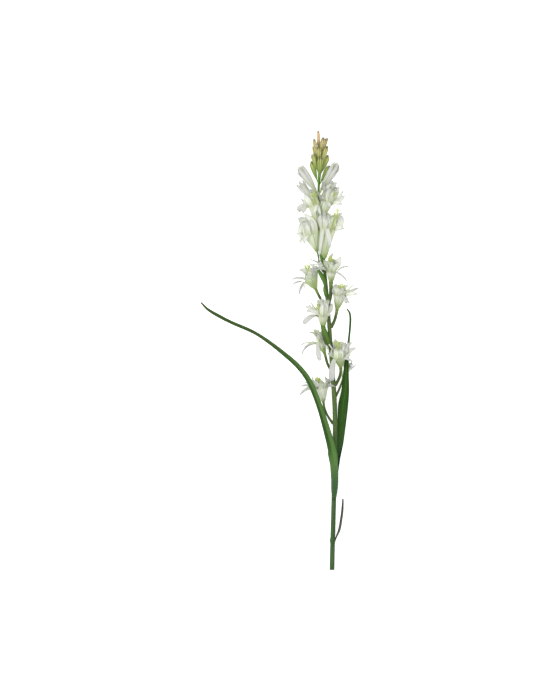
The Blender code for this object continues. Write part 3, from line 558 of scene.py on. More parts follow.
# What stays the same over a skin: how light bends and shines on it, and how far it goes in.
FLESH = {"Subsurface Weight": 0.12, "Subsurface Radius": (1.0, 1.0, 0.6),
         "Subsurface Scale": 0.0015}
WAX = {"IOR": 1.4, "Subsurface Weight": 0.25, "Subsurface Radius": (1.0, 1.0, 0.85),
       "Subsurface Scale": 0.003}
BUD = {"IOR": 1.42, **FLESH}
STALK = {"IOR": 1.42, "Specular IOR Level": 0.25, **FLESH}
BLADE = {"IOR": 1.45, "Specular IOR Level": 0.25}
BOARD = {"Emission Strength": 0.75, "Emission Color": WHITE_LIGHT}


def all_materials():
    """Every material, under the name that its pieces ask for."""
    left = leaf_dress(looks(0.38, 0.54, 0.28), looks(0.38, 0.53, 0.27), looks(0.34, 0.49, 0.23),
                      looks(0.13, 0.27, 0.07), veins=9, shade_from=0.5,
                      painted_shade_side=0.75, dark_edges=0.35)
    right = leaf_dress(looks(0.20, 0.37, 0.10), looks(0.28, 0.43, 0.17), looks(0.18, 0.34, 0.08),
                       looks(0.07, 0.19, 0.03), veins=9, shade_from=0.9,
                       painted_shade_side=0.0, dark_edges=0.9)
    low = leaf_dress(looks(0.26, 0.36, 0.20), looks(0.30, 0.34, 0.24), looks(0.23, 0.28, 0.18),
                     looks(0.14, 0.18, 0.11), veins=5, shade_from=0.9,
                     painted_shade_side=0.0, dark_edges=0.9)
    scale = bract_dress(looks(0.40, 0.58, 0.24), looks(0.26, 0.38, 0.14))
    sheath = bract_dress(looks(0.37, 0.52, 0.20), looks(0.23, 0.35, 0.12))
    plain = waxy_petal(PETAL_WHITE, rim_shade=0.6, foot=0.08, green_end=0.36, streak_end=0.80)
    pale = waxy_petal(PETAL_WHITE, rim_shade=0.6, foot=0.0, green_end=0.16, streak_end=0.60)
    green = waxy_petal(PETAL_WHITE, rim_shade=0.6, foot=0.16, green_end=0.64, streak_end=0.90)
    bud = waxy_petal(BUD_WHITE, rim_shade=0.45, foot=0.10, green_end=0.38, streak_end=0.62)
    return {
        "stem": material("stem skin", stem_dress, STALK),
        "stalk": material("stalk skin", stalk_dress, STALK),
        "leaf_left": material("leaf blade, light", left, BLADE),
        "leaf_right": material("leaf blade, dark", right, BLADE),
        "leaf_low": material("leaf blade, low", low, BLADE),
        "bract": material("bract", scale, BLADE),
        "sheath": material("sheath", sheath, BLADE),
        "petal": material("petal wax", plain, WAX),
        "pale_petal": material("petal wax, pale foot", pale, WAX),
        "green_petal": material("petal wax, green foot", green, WAX),
        "white_bud": material("white bud wax", bud, WAX),
        "green_bud": material("green bud skin", green_bud_dress, BUD),
        "top_bud": material("top bud skin", top_bud_dress, BUD),
        "stamen": material("stamens", stamen_dress, FLESH),
        "cut": material("cut stem face", cut_dress, {}),
        "floor": material("pale board", floor_dress, BOARD),
    }


# ----------------------------------------------------------------- curves

def bezier(a, b, c, d, t):
    """A point, or a number, at the share t of a curve from a to d with its handles at b and c."""
    s = 1 - t
    return a * s ** 3 + b * (3 * s * s * t) + c * (3 * s * t * t) + d * t ** 3


def shares(steps):
    """The shares from 0 to 1 at the ends of equal steps."""
    return [k / steps for k in range(steps + 1)]


def smooth_points(rows, per_span):
    """A smooth curve through rows of numbers that start with x, y and z, per_span steps a span."""
    rows = [Vector(row) for row in rows]
    steps = [(b - a).xyz.length for a, b in zip(rows, rows[1:])]
    slopes = [(rows[1] - rows[0]) / steps[0]]
    for i in range(1, len(rows) - 1):
        slopes.append((rows[i + 1] - rows[i - 1]) / (steps[i - 1] + steps[i]))
    slopes.append((rows[-1] - rows[-2]) / steps[-1])
    curve = []
    for i, step in enumerate(steps):
        out_to = rows[i] + slopes[i] * step / 3
        back_to = rows[i + 1] - slopes[i + 1] * step / 3
        for k in range(per_span):
            curve.append(bezier(rows[i], out_to, back_to, rows[i + 1], k / per_span))
    return curve + [rows[-1]]


def profile_at(profile, share):
    """The value at a share of the way along a smooth curve through (share, value) pairs."""
    last = len(profile) - 1
    i = next((k for k in range(last) if share <= profile[k + 1][0]), last - 1)

    def slope(k):
        before, after = profile[max(0, k - 1)], profile[min(last, k + 1)]
        return (after[1] - before[1]) / (after[0] - before[0])

    (start, low), (end, high) = profile[i], profile[i + 1]
    span = end - start
    t = min(1.0, max(0.0, (share - start) / span))
    return bezier(low, low + slope(i) * span / 3, high - slope(i + 1) * span / 3, high, t)


def above_surface(point, half):
    """The middle of a strip or bar, bent along the surface where its underside, which is lower by
    half its thickness, would come within REST_HEIGHT of it."""
    height = point.z - half
    if height < REST_HEIGHT:
        point = point.copy()
        point.z = REST_HEIGHT * exp((height - REST_HEIGHT) / REST_HEIGHT) + half
    return point


def directions(points):
    """The way that a line through the points goes at each of them."""
    ends = [points[0]] + points + [points[-1]]
    return [(after - before).normalized() for before, after in zip(ends, ends[2:])]


STEM_CURVE = smooth_points(STEM, STEM_SPAN)
STEM_LINE = [row.xyz for row in STEM_CURVE]


def stem_at(y):
    """The stem's middle point, direction and radius at a height y along it."""
    index = next(i for i in range(1, len(STEM_LINE)) if STEM_LINE[i].y >= y)
    before, after = STEM_CURVE[index - 1], STEM_CURVE[index]
    here = before.lerp(after, (y - before.y) / (after.y - before.y))
    place, swelling, half_width = LEAF_NODE
    radius = here.w / 2 + swelling * exp(-((y - place) / half_width) ** 2)
    return here.xyz, (after - before).xyz.normalized(), radius


def stem_seat(y, towards):
    """Where a piece that leaves the stem at y towards a point is seated, and the ways away from
    the stem and along it there."""
    centre, along, radius = stem_at(y)
    away = towards - centre
    away = (away - along * away.dot(along)).normalized()
    return centre + away * (radius + SEAT), away, along


# ----------------------------------------------------------------- shapes

class Shape:
    """Points in millimetres, each with its grain, and the faces over them."""

    def __init__(self):
        self.points, self.grain, self.faces = [], [], []

    def add(self, point, grain):
        """Adds a point and says which it is."""
        self.points.append(point)
        self.grain.append(grain)
        return len(self.points) - 1

    def band(self, lower, upper):
        """Faces between two closed rings of points."""
        count = len(lower)
        for i in range(count):
            j = (i + 1) % count
            self.faces.append((lower[i], lower[j], upper[j], upper[i]))

    def strip(self, rows):
        """A closed strip with two sides, from rows of (middle, normal, half thickness, grain)."""
        loops = []
        for row in rows:
            above = [self.add(middle + normal * half, grain) for middle, normal, half, grain in row]
            below = [self.add(middle - normal * half, grain) for middle, normal, half, grain in row]
            loops.append(above + below[::-1])
        for lower, upper in zip(loops, loops[1:]):
            self.band(lower, upper)
        for loop in (loops[0], loops[-1]):
            for i in range(len(loop) // 2 - 1):
                self.faces.append((loop[i], loop[i + 1], loop[-i - 2], loop[-i - 1]))

    def bar(self, centres, radii, sides, shade=0.0):
        """A closed round bar, with a pole at each end."""
        rings = []
        across = directions(centres)[0].cross(ASLANT).normalized()
        for k, (centre, along, radius) in enumerate(zip(centres, directions(centres), radii)):
            across = (across - along * across.dot(along)).normalized()
            other = along.cross(across)
            ring = []
            for side in range(sides):
                turn = 2 * pi * side / sides
                out = across * cos(turn) + other * sin(turn)
                ring.append(self.add(centre + out * radius, (0.0, shade, k / (len(centres) - 1))))
            rings.append(ring)
        for lower, upper in zip(rings, rings[1:]):
            self.band(lower, upper)
        for ring, centre, along in ((rings[0], centres[0], 0.0), (rings[-1], centres[-1], 1.0)):
            pole = self.add(centre, (0.0, shade, along))
            for i, here in enumerate(ring):
                self.faces.append((here, ring[(i + 1) % sides], pole))


FLAT = 1e-4          # a strip bent across by less than this, in radians a millimetre, is flat
EDGE_THINNER = 0.6   # how much thinner a blade is at its edges, as a share


def arc_across(centre, side, inward, width, bend, columns):
    """Points over a strip's width, bent round an arc towards inward: (place, point, normal)."""
    row = []
    for column in range(columns + 1):
        place = 2 * column / columns - 1
        angle = place * width / 2 * bend
        if abs(bend) < FLAT:
            row.append((place, centre + side * (place * width / 2), inward))
        else:
            around, into = sin(angle) / bend, (1 - cos(angle)) / bend
            row.append((place, centre + side * around + inward * into,
                        inward * cos(angle) - side * sin(angle)))
    return row


def half_thickness(full, place, thinner=EDGE_THINNER):
    """Half the thickness of a blade at a place across it."""
    return full / 2 * (1 - thinner * place ** 2)


def show(name, mesh, node):
    """Puts a finished mesh in the scene as a piece of the part, in place of its CAD node."""
    obj = bpy.data.objects.new(name, mesh)
    bpy.context.scene.collection.objects.link(obj)
    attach(obj, "root")
    if node:
        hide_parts(node)


def piece(name, shape, skin, node):
    """A piece from a shape, in metres round the part's own origin, with its faces outward."""
    mesh = bpy.data.meshes.new(name)
    mesh.from_pydata([(p - ORIGIN) * MM for p in shape.points], [], shape.faces)
    grain = mesh.attributes.new("grain", "FLOAT_VECTOR", "POINT")
    grain.data.foreach_set("vector", [number for three in shape.grain for number in three])
    turned = bmesh.new()
    turned.from_mesh(mesh)
    bmesh.ops.recalc_face_normals(turned, faces=turned.faces)
    turned.to_mesh(mesh)
    turned.free()
    mesh.shade_smooth()
    mesh.materials.append(skin)
    show(name, mesh, node)


# ---------------------------------------------------------- geometry trees

def geometry_tree(name, inputs):
    """A new geometry tree with named inputs, and a wire for each of them."""
    group = bpy.data.node_groups.new(name, "GeometryNodeTree")
    group.interface.new_socket("Geometry", in_out="OUTPUT", socket_type="NodeSocketGeometry")
    group.interface.new_socket("Geometry", in_out="INPUT", socket_type="NodeSocketGeometry")
    for label, kind in inputs.items():
        group.interface.new_socket(label, in_out="INPUT", socket_type="NodeSocket" + kind)
    tree = Tree(group)
    entry = group.nodes.new("NodeGroupInput")
    return tree, {socket.name: Wire(tree, socket) for socket in entry.outputs if socket.name}


def keep(tree, geometry, name, value):
    """Stores a vector on the points of a geometry, under a name."""
    return tree.add("GeometryNodeStoreNamedAttribute",
                    {"data_type": "FLOAT_VECTOR", "domain": "POINT"},
                    {"Geometry": geometry, "Name": name, "Value": value})


def kept(tree, name):
    """The vector that was stored on the points under a name."""
    return tree.add("GeometryNodeInputNamedAttribute", {"data_type": "FLOAT_VECTOR"},
                    {"Name": name})


def finish_tree(tree, geometry, skin):
    """Ends a tree: smooth, real geometry with its material."""
    smooth = tree.add("GeometryNodeSetShadeSmooth", sockets={"Geometry": geometry})
    real = tree.add("GeometryNodeRealizeInstances", sockets={"Geometry": smooth})
    painted = tree.add("GeometryNodeSetMaterial", sockets={"Geometry": real, "Material": skin})
    way_out = tree.tree.nodes.new("NodeGroupOutput")
    tree.feed(way_out.inputs["Geometry"], painted)
    return tree.tree


def bar_tree():
    """A ribbed round bar along a path, as thick as the path's own radius."""
    tree, given = geometry_tree("bar along a path", {
        "Sides": "Int", "Ribs": "Int", "Rib Depth": "Float", "Step": "Float", "Skin": "Material"})
    path = tree.add("GeometryNodeResampleCurve", {"mode": "LENGTH"},
                    {"Curve": given["Geometry"], "Length": given["Step"]})
    share = tree.add("GeometryNodeSplineParameter")
    path = keep(tree, path, "way", tree.vector(z=share))
    ring = tree.add("GeometryNodeCurvePrimitiveCircle",
                    sockets={"Resolution": given["Sides"], "Radius": 1.0})
    turn = share * given["Ribs"] * (2 * pi)
    swell = turn.math("COSINE") * given["Rib Depth"] + 1.0
    ribbed = tree.add("ShaderNodeVectorMath", {"operation": "SCALE"},
                      {0: tree.add("GeometryNodeInputPosition"), "Scale": swell})
    ring = tree.add("GeometryNodeSetPosition", sockets={"Geometry": ring, "Position": ribbed})
    bar = tree.add("GeometryNodeCurveToMesh", sockets={
        "Curve": path, "Profile Curve": ring, "Fill Caps": True,
        "Scale": tree.add("GeometryNodeInputRadius")})
    east, _, up = tree.split(tree.add("GeometryNodeInputNormal"))
    grain = tree.vector_math("ADD", tree.vector(east, up), kept(tree, "way"))
    return finish_tree(tree, keep(tree, bar, "grain", grain), given["Skin"])


STAMENS = 6
THREAD_POINTS = 10
THREAD_SIDES = 6
THREAD_TAPER = 0.4             # how much thinner a thread is at its top, as a share
ANTHER_FLAT = 0.7              # an anther's thickness, as a share of its width
ANTHER_TILT = 0.25             # how far it leans outward, in radians
RING_WIDE = 2.2                # radius of the ring that the threads stand in, in threads' radii
SWAY = 0.25                    # how far a stamen may stand round from its even place, in radians
STRETCH = (0.84, 1.06)         # how long the stamens are, as shares of the length given
STRETCH_SEED = 5.0             # what is added to the seed for the draw of that length
STYLE = (1.08, 0.12, 1.3)      # the style, as shares of a stamen: its length, splay, thickness
STIGMA = (2.4, 1.2)            # and its head: its length and its radius, in radii of an anther


def stamen_tree():
    """Stamens round a style: threads that bow outward, each with a long anther at its top."""
    tree, given = geometry_tree("stamens", {
        "Count": "Int", "Length": "Float", "Splay": "Float", "Thread": "Float", "Anther": "Float",
        "Anther Width": "Float", "Seed": "Int", "Skin": "Material"})
    share = tree.add("GeometryNodeSplineParameter")

    def thread(length, splay, thickness):
        line = tree.add("GeometryNodeCurvePrimitiveLine",
                        sockets={"Start": (0.0, 0.0, 0.0), "End": tree.vector(z=length)})
        line = tree.add("GeometryNodeResampleCurve", {"mode": "COUNT"},
                        {"Curve": line, "Count": THREAD_POINTS})
        line = tree.add("GeometryNodeSetPosition",
                        sockets={"Geometry": line, "Offset": tree.vector(x=splay * share ** 2)})
        line = keep(tree, line, "way", tree.vector(z=share))
        ring = tree.add("GeometryNodeCurvePrimitiveCircle",
                        sockets={"Resolution": THREAD_SIDES, "Radius": thickness})
        bar = tree.add("GeometryNodeCurveToMesh", sockets={
            "Curve": line, "Profile Curve": ring, "Fill Caps": True,
            "Scale": 1.0 - share * THREAD_TAPER})
        return keep(tree, bar, "grain", kept(tree, "way"))

    def pod(length, width, place, tilt):
        ball = tree.add("GeometryNodeMeshUVSphere",
                        sockets={"Segments": 10, "Rings": 8, "Radius": 1.0})
        shaped = tree.add("GeometryNodeTransform", sockets={
            "Geometry": ball, "Scale": tree.vector(width, width * ANTHER_FLAT, length * 0.5),
            "Rotation": tree.add("FunctionNodeEulerToRotation", sockets={0: tree.vector(y=tilt)}),
            "Translation": place})
        return keep(tree, shaped, "grain", tree.vector(x=1.0, z=1.0))

    def drawn(lowest, highest, seed):
        return tree.add("FunctionNodeRandomValue", {"data_type": "FLOAT"},
                        {2: lowest, 3: highest, "Seed": seed}, output=1)

    top = tree.vector(given["Splay"], 0.0, given["Length"])
    one = tree.join(pod(given["Anther"], given["Anther Width"], top, ANTHER_TILT),
                    thread(given["Length"], given["Splay"], given["Thread"]))
    feet = tree.add("GeometryNodeMeshCircle",
                    sockets={"Vertices": given["Count"], "Radius": given["Thread"] * RING_WIDE})
    index = tree.add("GeometryNodeInputIndex")
    about = index * (2 * pi / STAMENS) + drawn(-SWAY, SWAY, given["Seed"])
    turn = tree.add("FunctionNodeEulerToRotation", sockets={0: tree.vector(z=about)})
    stretch = drawn(*STRETCH, given["Seed"] + STRETCH_SEED)
    ring = tree.add("GeometryNodeInstanceOnPoints", sockets={
        "Points": feet, "Instance": one, "Rotation": turn, "Scale": tree.vector(1.0, 1.0, stretch)})
    taller, splayed, thicker = STYLE
    length, splay = given["Length"] * taller, given["Splay"] * splayed
    style = thread(length, splay, given["Thread"] * thicker)
    stigma = pod(given["Anther Width"] * STIGMA[0], given["Anther Width"] * STIGMA[1],
                 tree.vector(splay, 0.0, length), 0.0)
    return finish_tree(tree, tree.join(ring, style, stigma), given["Skin"])


def grown(name, source, group, settings):
    """The plain mesh that a geometry tree grows on a source object, which is then removed."""
    modifier = source.modifiers.new("growth", "NODES")
    modifier.node_group = group
    for socket in group.interface.items_tree:
        if socket.in_out == "INPUT" and socket.name in settings:
            modifier[socket.identifier] = settings[socket.name]
    depsgraph = bpy.context.evaluated_depsgraph_get()
    mesh = bpy.data.meshes.new_from_object(source.evaluated_get(depsgraph), depsgraph=depsgraph)
    mesh.name = name
    bpy.data.objects.remove(source)
    return mesh


def path_object(centres, radii):
    """A path in metres round the part's own origin, with a radius at each point."""
    curve = bpy.data.curves.new("path", "CURVE")
    curve.dimensions = "3D"
    line = curve.splines.new("POLY")
    line.points.add(len(centres) - 1)
    for point, centre, radius in zip(line.points, centres, radii):
        point.co = (*((centre - ORIGIN) * MM), 1.0)
        point.radius = radius * MM
    obj = bpy.data.objects.new("path", curve)
    bpy.context.scene.collection.objects.link(obj)
    return obj


# ----------------------------------------------------------------- pieces

STEM_STEP = 2.0                # length of stem between two rings of points
STEM_BAR = {"Sides": 28, "Ribs": 9, "Rib Depth": 0.025, "Step": STEM_STEP * MM}
JOINT_SWELLING = (0.35, 4.0)   # where a stalk leaves the stem: how thick, how long
CUT_SHARE = 0.96               # radius of the cut face, as a share of the stem's
CUT_HALF = 0.05                # half its thickness
CUT_PLACES = (-1.0, -0.6, 0.0, 0.6, 1.0)  # where the points of a line across it stand
CUT_STEPS = 16
STALK_BAR = {"Sides": 16, "Ribs": 5, "Rib Depth": 0.05, "Step": 1.0 * MM}
STALK_SHAPE = [(0.0, 1.6), (0.12, 1.25), (0.6, 1.12), (0.9, 1.2), (1.0, 1.4)]
STALK_STEPS = 28
LEAF_SPAN = 9                  # rows of points from one point of a leaf's middle line to the next
LEAF_COLUMNS = 16
LEAF_WAVES = (21.0, 1.3)       # how far its ripple turns, in radians: along it, across half of it
LEAST_HUG = 3.0                # a foot never wraps tighter than this
LEAST_WIDTH = 2.0              # and where a blade is narrower than this its channel gets shallower
BRACT_STEPS = 14
BRACT_COLUMNS = 8
BRACT_TIP_THINNER = 0.5
SHEATH_SPAN = 8
SHEATH_COLUMNS = 12


def blade(name, rows, skin, node):
    """A piece that is a single strip."""
    shape = Shape()
    shape.strip(rows)
    piece(name, shape, skin, node)


def stem_piece(bars, skins):
    """The ribbed stem, a little thicker where each stalk leaves it."""
    joints = [spec["leaves_at"] for spec in FLORETS if spec["stalk"]]
    swelling, length = JOINT_SWELLING
    centres, radii = [], []
    for k in range(int(STEM_LINE[-1].y / STEM_STEP)):
        y = STEM_STEP * k
        centre, _, radius = stem_at(y)
        centres.append(centre)
        radii.append(radius + sum(swelling * exp(-((y - joint) / length) ** 2) for joint in joints))
    centres.append(STEM_LINE[-1])
    radii.append(radii[-1])
    path = path_object(centres, radii)
    mesh = grown("main_stem", path, bars, {**STEM_BAR, "Skin": skins["stem"]})
    show("main_stem_skin", mesh, "main_stem")
    cut_face(centres[0], radii[0] * CUT_SHARE, skins)


def cut_face(centre, radius, skins):
    """A thin disc over the cut end, swept by a line across it that goes round by half a turn."""
    rows = []
    for k in range(CUT_STEPS + 1):
        turn = pi * k / CUT_STEPS
        rows.append([(centre + Vector((radius * x * cos(turn), -CUT_HALF, radius * x * sin(turn))),
                      Vector((0.0, 1.0, 0.0)), CUT_HALF, (abs(x), 0.0, 0.0)) for x in CUT_PLACES])
    blade("stem_cut_face", rows, skins["cut"], None)


def stalk_piece(spec, bars, skins):
    """The stalk of a floret, up from the stem and over to the floret's foot."""
    foot, mouth = Vector(spec["foot"]), Vector(spec["mouth"])
    facing = (mouth - foot).normalized()
    seat, away, along = stem_seat(spec["leaves_at"], foot)
    reach = (foot - seat).length
    first, last = (reach * share for share in STALK_HANDLES)
    end = foot + facing * SEAT
    rising = (away + along * STALK_RISE).normalized()
    controls = (seat - rising * 2 * SUNK, seat + rising * first, end - facing * last, end)
    radius = spec["stalk"]
    centres = [above_surface(bezier(*controls, share), radius) for share in shares(STALK_STEPS)]
    radii = [radius * profile_at(STALK_SHAPE, share) for share in shares(STALK_STEPS)]
    path = path_object(centres, radii)
    name = spec["name"] + "_stalk"
    mesh = grown(name, path, bars, {**STALK_BAR, "Skin": skins["stalk"]})
    show(name + "_skin", mesh, name)


def leaf_piece(spec, skins):
    """A long leaf: a shallow channel that hugs the stem at its foot."""
    path = [(x, y, z, width, *facing, hug) for x, y, z, width, facing, hug in spec["path"]]
    curve = smooth_points(path, LEAF_SPAN)
    hugging = [row[-1] > 0 for row in path].index(False) * LEAF_SPAN
    centres = [Vector(row[:3]) for row in curve]
    phase = Random(spec["name"]).uniform(0, 2 * pi)
    rows = []
    for k, (numbers, centre, along) in enumerate(zip(curve, centres, directions(centres))):
        width, facing_x, facing_z, hug = numbers[3:]
        side = along.cross(Vector((facing_x, 0.0, facing_z))).normalized()
        normal = side.cross(along).normalized()
        share = k / (len(curve) - 1)
        grip = min(1.0, max(0.0, (hugging - k) / LEAF_SPAN))
        bend = -grip / max(LEAST_HUG, hug) + (1 - grip) * spec["channel"] / max(LEAST_WIDTH, width)
        row = []
        for place, middle, out in arc_across(centre, side, normal, width, bend, LEAF_COLUMNS):
            turn = share * LEAF_WAVES[0] + phase + place * LEAF_WAVES[1]
            ripple = spec["ripple"] * sin(turn) * place * abs(place)
            fold = spec["fold"] * (abs(place) - 0.5) * width / 2
            half = half_thickness(spec["thickness"], place)
            middle = above_surface(middle + out * (ripple + fold) * (1 - grip), half)
            row.append((middle, out, half, (place, 0.0, share)))
        rows.append(row)
    blade(spec["name"] + "_blade", rows, skins[spec["name"]], spec["name"])


def bract_piece(name, leaves_at, tip, width, skins):
    """A small pointed scale that hugs the stem at its foot and leans out at its tip."""
    tip = Vector(tip)
    seat, away, along = stem_seat(leaves_at, tip)
    rise, arrival = seat + along * BRACT_RISE, tip - along * BRACT_ARRIVAL
    centres = [bezier(seat, rise, arrival, tip, share) for share in shares(BRACT_STEPS)]
    rows = []
    for share, centre, way in zip(shares(BRACT_STEPS), centres, directions(centres)):
        side = way.cross(away).normalized()
        inward = -side.cross(way).normalized()
        wide = width * profile_at(BRACT_OUTLINE, share)
        thinned = 1 - BRACT_TIP_THINNER * share
        over = arc_across(centre, side, inward, wide, 1 / BRACT_HUG, BRACT_COLUMNS)
        rows.append([(middle, out, half_thickness(BRACT_THICKNESS, place) * thinned,
                      (place, 0.0, share)) for place, middle, out in over])
    blade(name + "_scale", rows, skins["bract"], name)


def sheath_piece(skins):
    """The broad leafy sheath that wraps the thickest stalk, from the stem up to its floret."""
    curve = smooth_points(SHEATH, SHEATH_SPAN)
    centres = [row.xyz for row in curve]
    rows = []
    for k, (numbers, centre, way) in enumerate(zip(curve, centres, directions(centres))):
        side = way.cross(UP).normalized()
        inward = -side.cross(way).normalized()
        share = k / (len(curve) - 1)
        over = arc_across(centre, side, inward, numbers.w, 1 / BRACT_HUG, SHEATH_COLUMNS)
        rows.append([(middle, out, half_thickness(BRACT_THICKNESS, place), (place, 0.0, share))
                     for place, middle, out in over])
    blade("floret_05_sheath", rows, skins["sheath"], None)


# ---------------------------------------------------------------- florets

TUBE_SHARE = 0.4         # share of a petal's length that is fused into the tube
TUBE_STEPS = 9
TUBE_WRAP = 0.64         # half the angle that a petal takes of the tube, in radians
PETAL_STEPS = 20
PETAL_COLUMNS = 10
INNER_RING = 0.4         # how far inside the others every second outer petal stands
PETAL_SHAPE = [(0.0, 0.66), (0.18, 0.86), (0.45, 1.0), (0.70, 0.90), (0.88, 0.60), (0.96, 0.34),
               (1.0, 0.08)]
BLUNT_SHAPE = [(0.0, 0.50), (0.3, 0.70), (0.6, 0.95), (0.8, 1.0), (0.92, 0.85), (0.98, 0.55),
               (1.0, 0.2)]
CUP_SHAPE = [(0.0, 0.80), (0.3, 0.95), (0.6, 1.0), (0.75, 0.94), (0.90, 0.62), (1.0, 0.14)]
# How wide each floret's six outer petals are, and how far each turns its face up, in the order of
# its tips.
PETAL_SIZE = {
    "floret_01": ((9.0, 4.5, 6.5, 5.0, 6.5, 9.0), (0.5, 0.7, 0.7, 0.7, 0.9, 0.5)),
    "floret_02": ((8.0, 8.0, 8.0, 8.0, 8.0, 8.0), (0.4, 0.4, 0.4, 0.4, 0.4, 0.4)),
    "floret_03": ((9.0, 5.5, 10.5, 7.0, 10.0, 9.0), (0.6, 0.6, 1.0, 0.7, 0.7, 0.6)),
    "floret_04": ((8.0, 6.0, 8.5, 4.0, 4.5, 5.5), (0.4, 0.6, 1.0, 0.7, 0.7, 0.6)),
    "floret_05": ((8.5, 7.0, 8.0, 9.5, 8.0, 10.0), (0.8, 0.7, 0.8, 1.0, 0.8, 0.6)),
    "floret_06": ((6.5, 7.5, 4.0, 6.0, 8.0, 8.5), (0.7, 0.7, 0.7, 0.6, 0.5, 0.6)),
    "floret_07": ((7.0, 8.0, 4.5, 4.0, 4.5, 9.5), (0.6, 0.5, 0.7, 0.7, 0.7, 0.8)),
    "floret_08": ((4.0, 4.0, 3.2, 4.0, 8.0, 12.0), (0.7, 0.7, 0.8, 0.8, 0.5, 0.9)),
    "floret_09": ((13.0, 12.0, 7.0, 7.0, 7.0, 17.0), (0.6, 0.6, 0.8, 0.8, 0.8, 0.9)),
    "floret_10": ((10.0, 9.5, 9.0, 13.0, 13.0, 13.0), (0.7, 0.8, 0.9, 0.8, 0.6, 0.7)),
    "floret_11": ((5.0, 8.0, 11.0, 9.0, 12.0, 11.0), (0.8, 0.6, 0.7, 0.8, 1.0, 0.7)),
    "floret_12": ((11.0, 8.0, 9.0, 8.5, 10.0, 10.0), (0.9, 0.8, 0.9, 0.7, 0.7, 0.7)),
}
BASE_NARROWS = 2.5       # how fast a petal's base narrows, at least, after the mouth
TIP_BEND = 0.05          # how far a petal is bent across at its tip, in radians a millimetre
NEARBY = 0.02            # share of a petal's length, each way, over which its direction is taken
THIN_PETAL = 7.0         # petals narrower than this are greyer than the others, with deeper painted shade
FULL_FACE = 1.0          # and so are those that lie flat
# Ranges of shade, greying petals as painted shade: plain, deep-shaded, narrow extra and cup petals.
PLAIN_SHADE, DEEP_SHADE, THIN_SHADE, CUP_SHADE = (0.6, 1.1), (1.1, 1.5), (0.3, 0.9), (0.0, 0.6)
PETAL_THICKNESS = 0.8
PETAL_EDGE_THINNER = 0.65
PETAL_TIP_THINNER = 0.35
PETAL_WAVE = 1.1         # how high a petal's edges wave
WAVE_TURNS = (9.0, 1.7)  # how far the wave turns, in radians: along a petal, across half of it
RAGGED = 2.0             # how deep the notches in a petal's end are
NOTCHES = (0.4, 0.5, 6.0)  # their depth at its sides and between, as shares, and how close they are
SHADE_GROWS = (0.3, 2.5)  # how a petal's shade comes in: share of it in the tube, how fast after it

# The cup's three whorls: share of its rim radius, share of its height, width of a petal, share of
# a petal that it is turned by, how far inside the outer petals it starts.
WHORLS = [(1.0, 1.0, 9.5, 0.5, 1.2), (0.88, 0.97, 7.5, 0.0, 1.9), (0.58, 0.92, 6.5, 0.5, 2.7)]
CUP_OVERLAP = (1.05, 1.5)  # a cup petal's width, as a share of its part of the rim
CUP_STEP = 0.5            # how far every other petal of a whorl stands in from the ones beside it
CUP_START = (0.95, 0.35)  # the way a cup's petal leaves the mouth: share along the tube, outward
CUP_END = (0.75, 0.65)    # and the way it points at its tip
CUP_OPEN = 1.5            # how much further out the petals in front are
UNEVEN = (-5.0, 3.0)      # how much longer or shorter the cup's petals are than its height
# The cup of inner petals that stands up round each floret's stamens: the middle and radius of its
# rim, and how much lower its front is, as a share of its height.
CUPS = {
    "floret_01": ((-15.0, 322.0, 13.0), 12.5, 0.25), "floret_02": ((27.5, 352.0, 7.5), 6.2, 0.1),
    "floret_03": ((13.0, 384.0, 33.0), 10.5, 0.3), "floret_04": ((-23.0, 404.0, 14.0), 8.5, 0.2),
    "floret_05": ((-15.5, 457.0, 38.0), 10.5, 0.1), "floret_06": ((14.0, 481.0, 32.0), 11.8, 0.2),
    "floret_07": ((-36.5, 509.0, 20.0), 13.0, 0.2), "floret_08": ((-2.5, 526.0, 38.0), 12.0, 0.1),
    "floret_09": ((-42.5, 597.0, 21.0), 15.5, 0.2), "floret_10": ((-3.5, 606.0, 32.0), 17.0, 0.25),
    "floret_11": ((-35.0, 640.0, 28.0), 9.0, 0.25), "floret_12": ((-5.0, 652.0, 33.0), 14.0, 0.1),
}
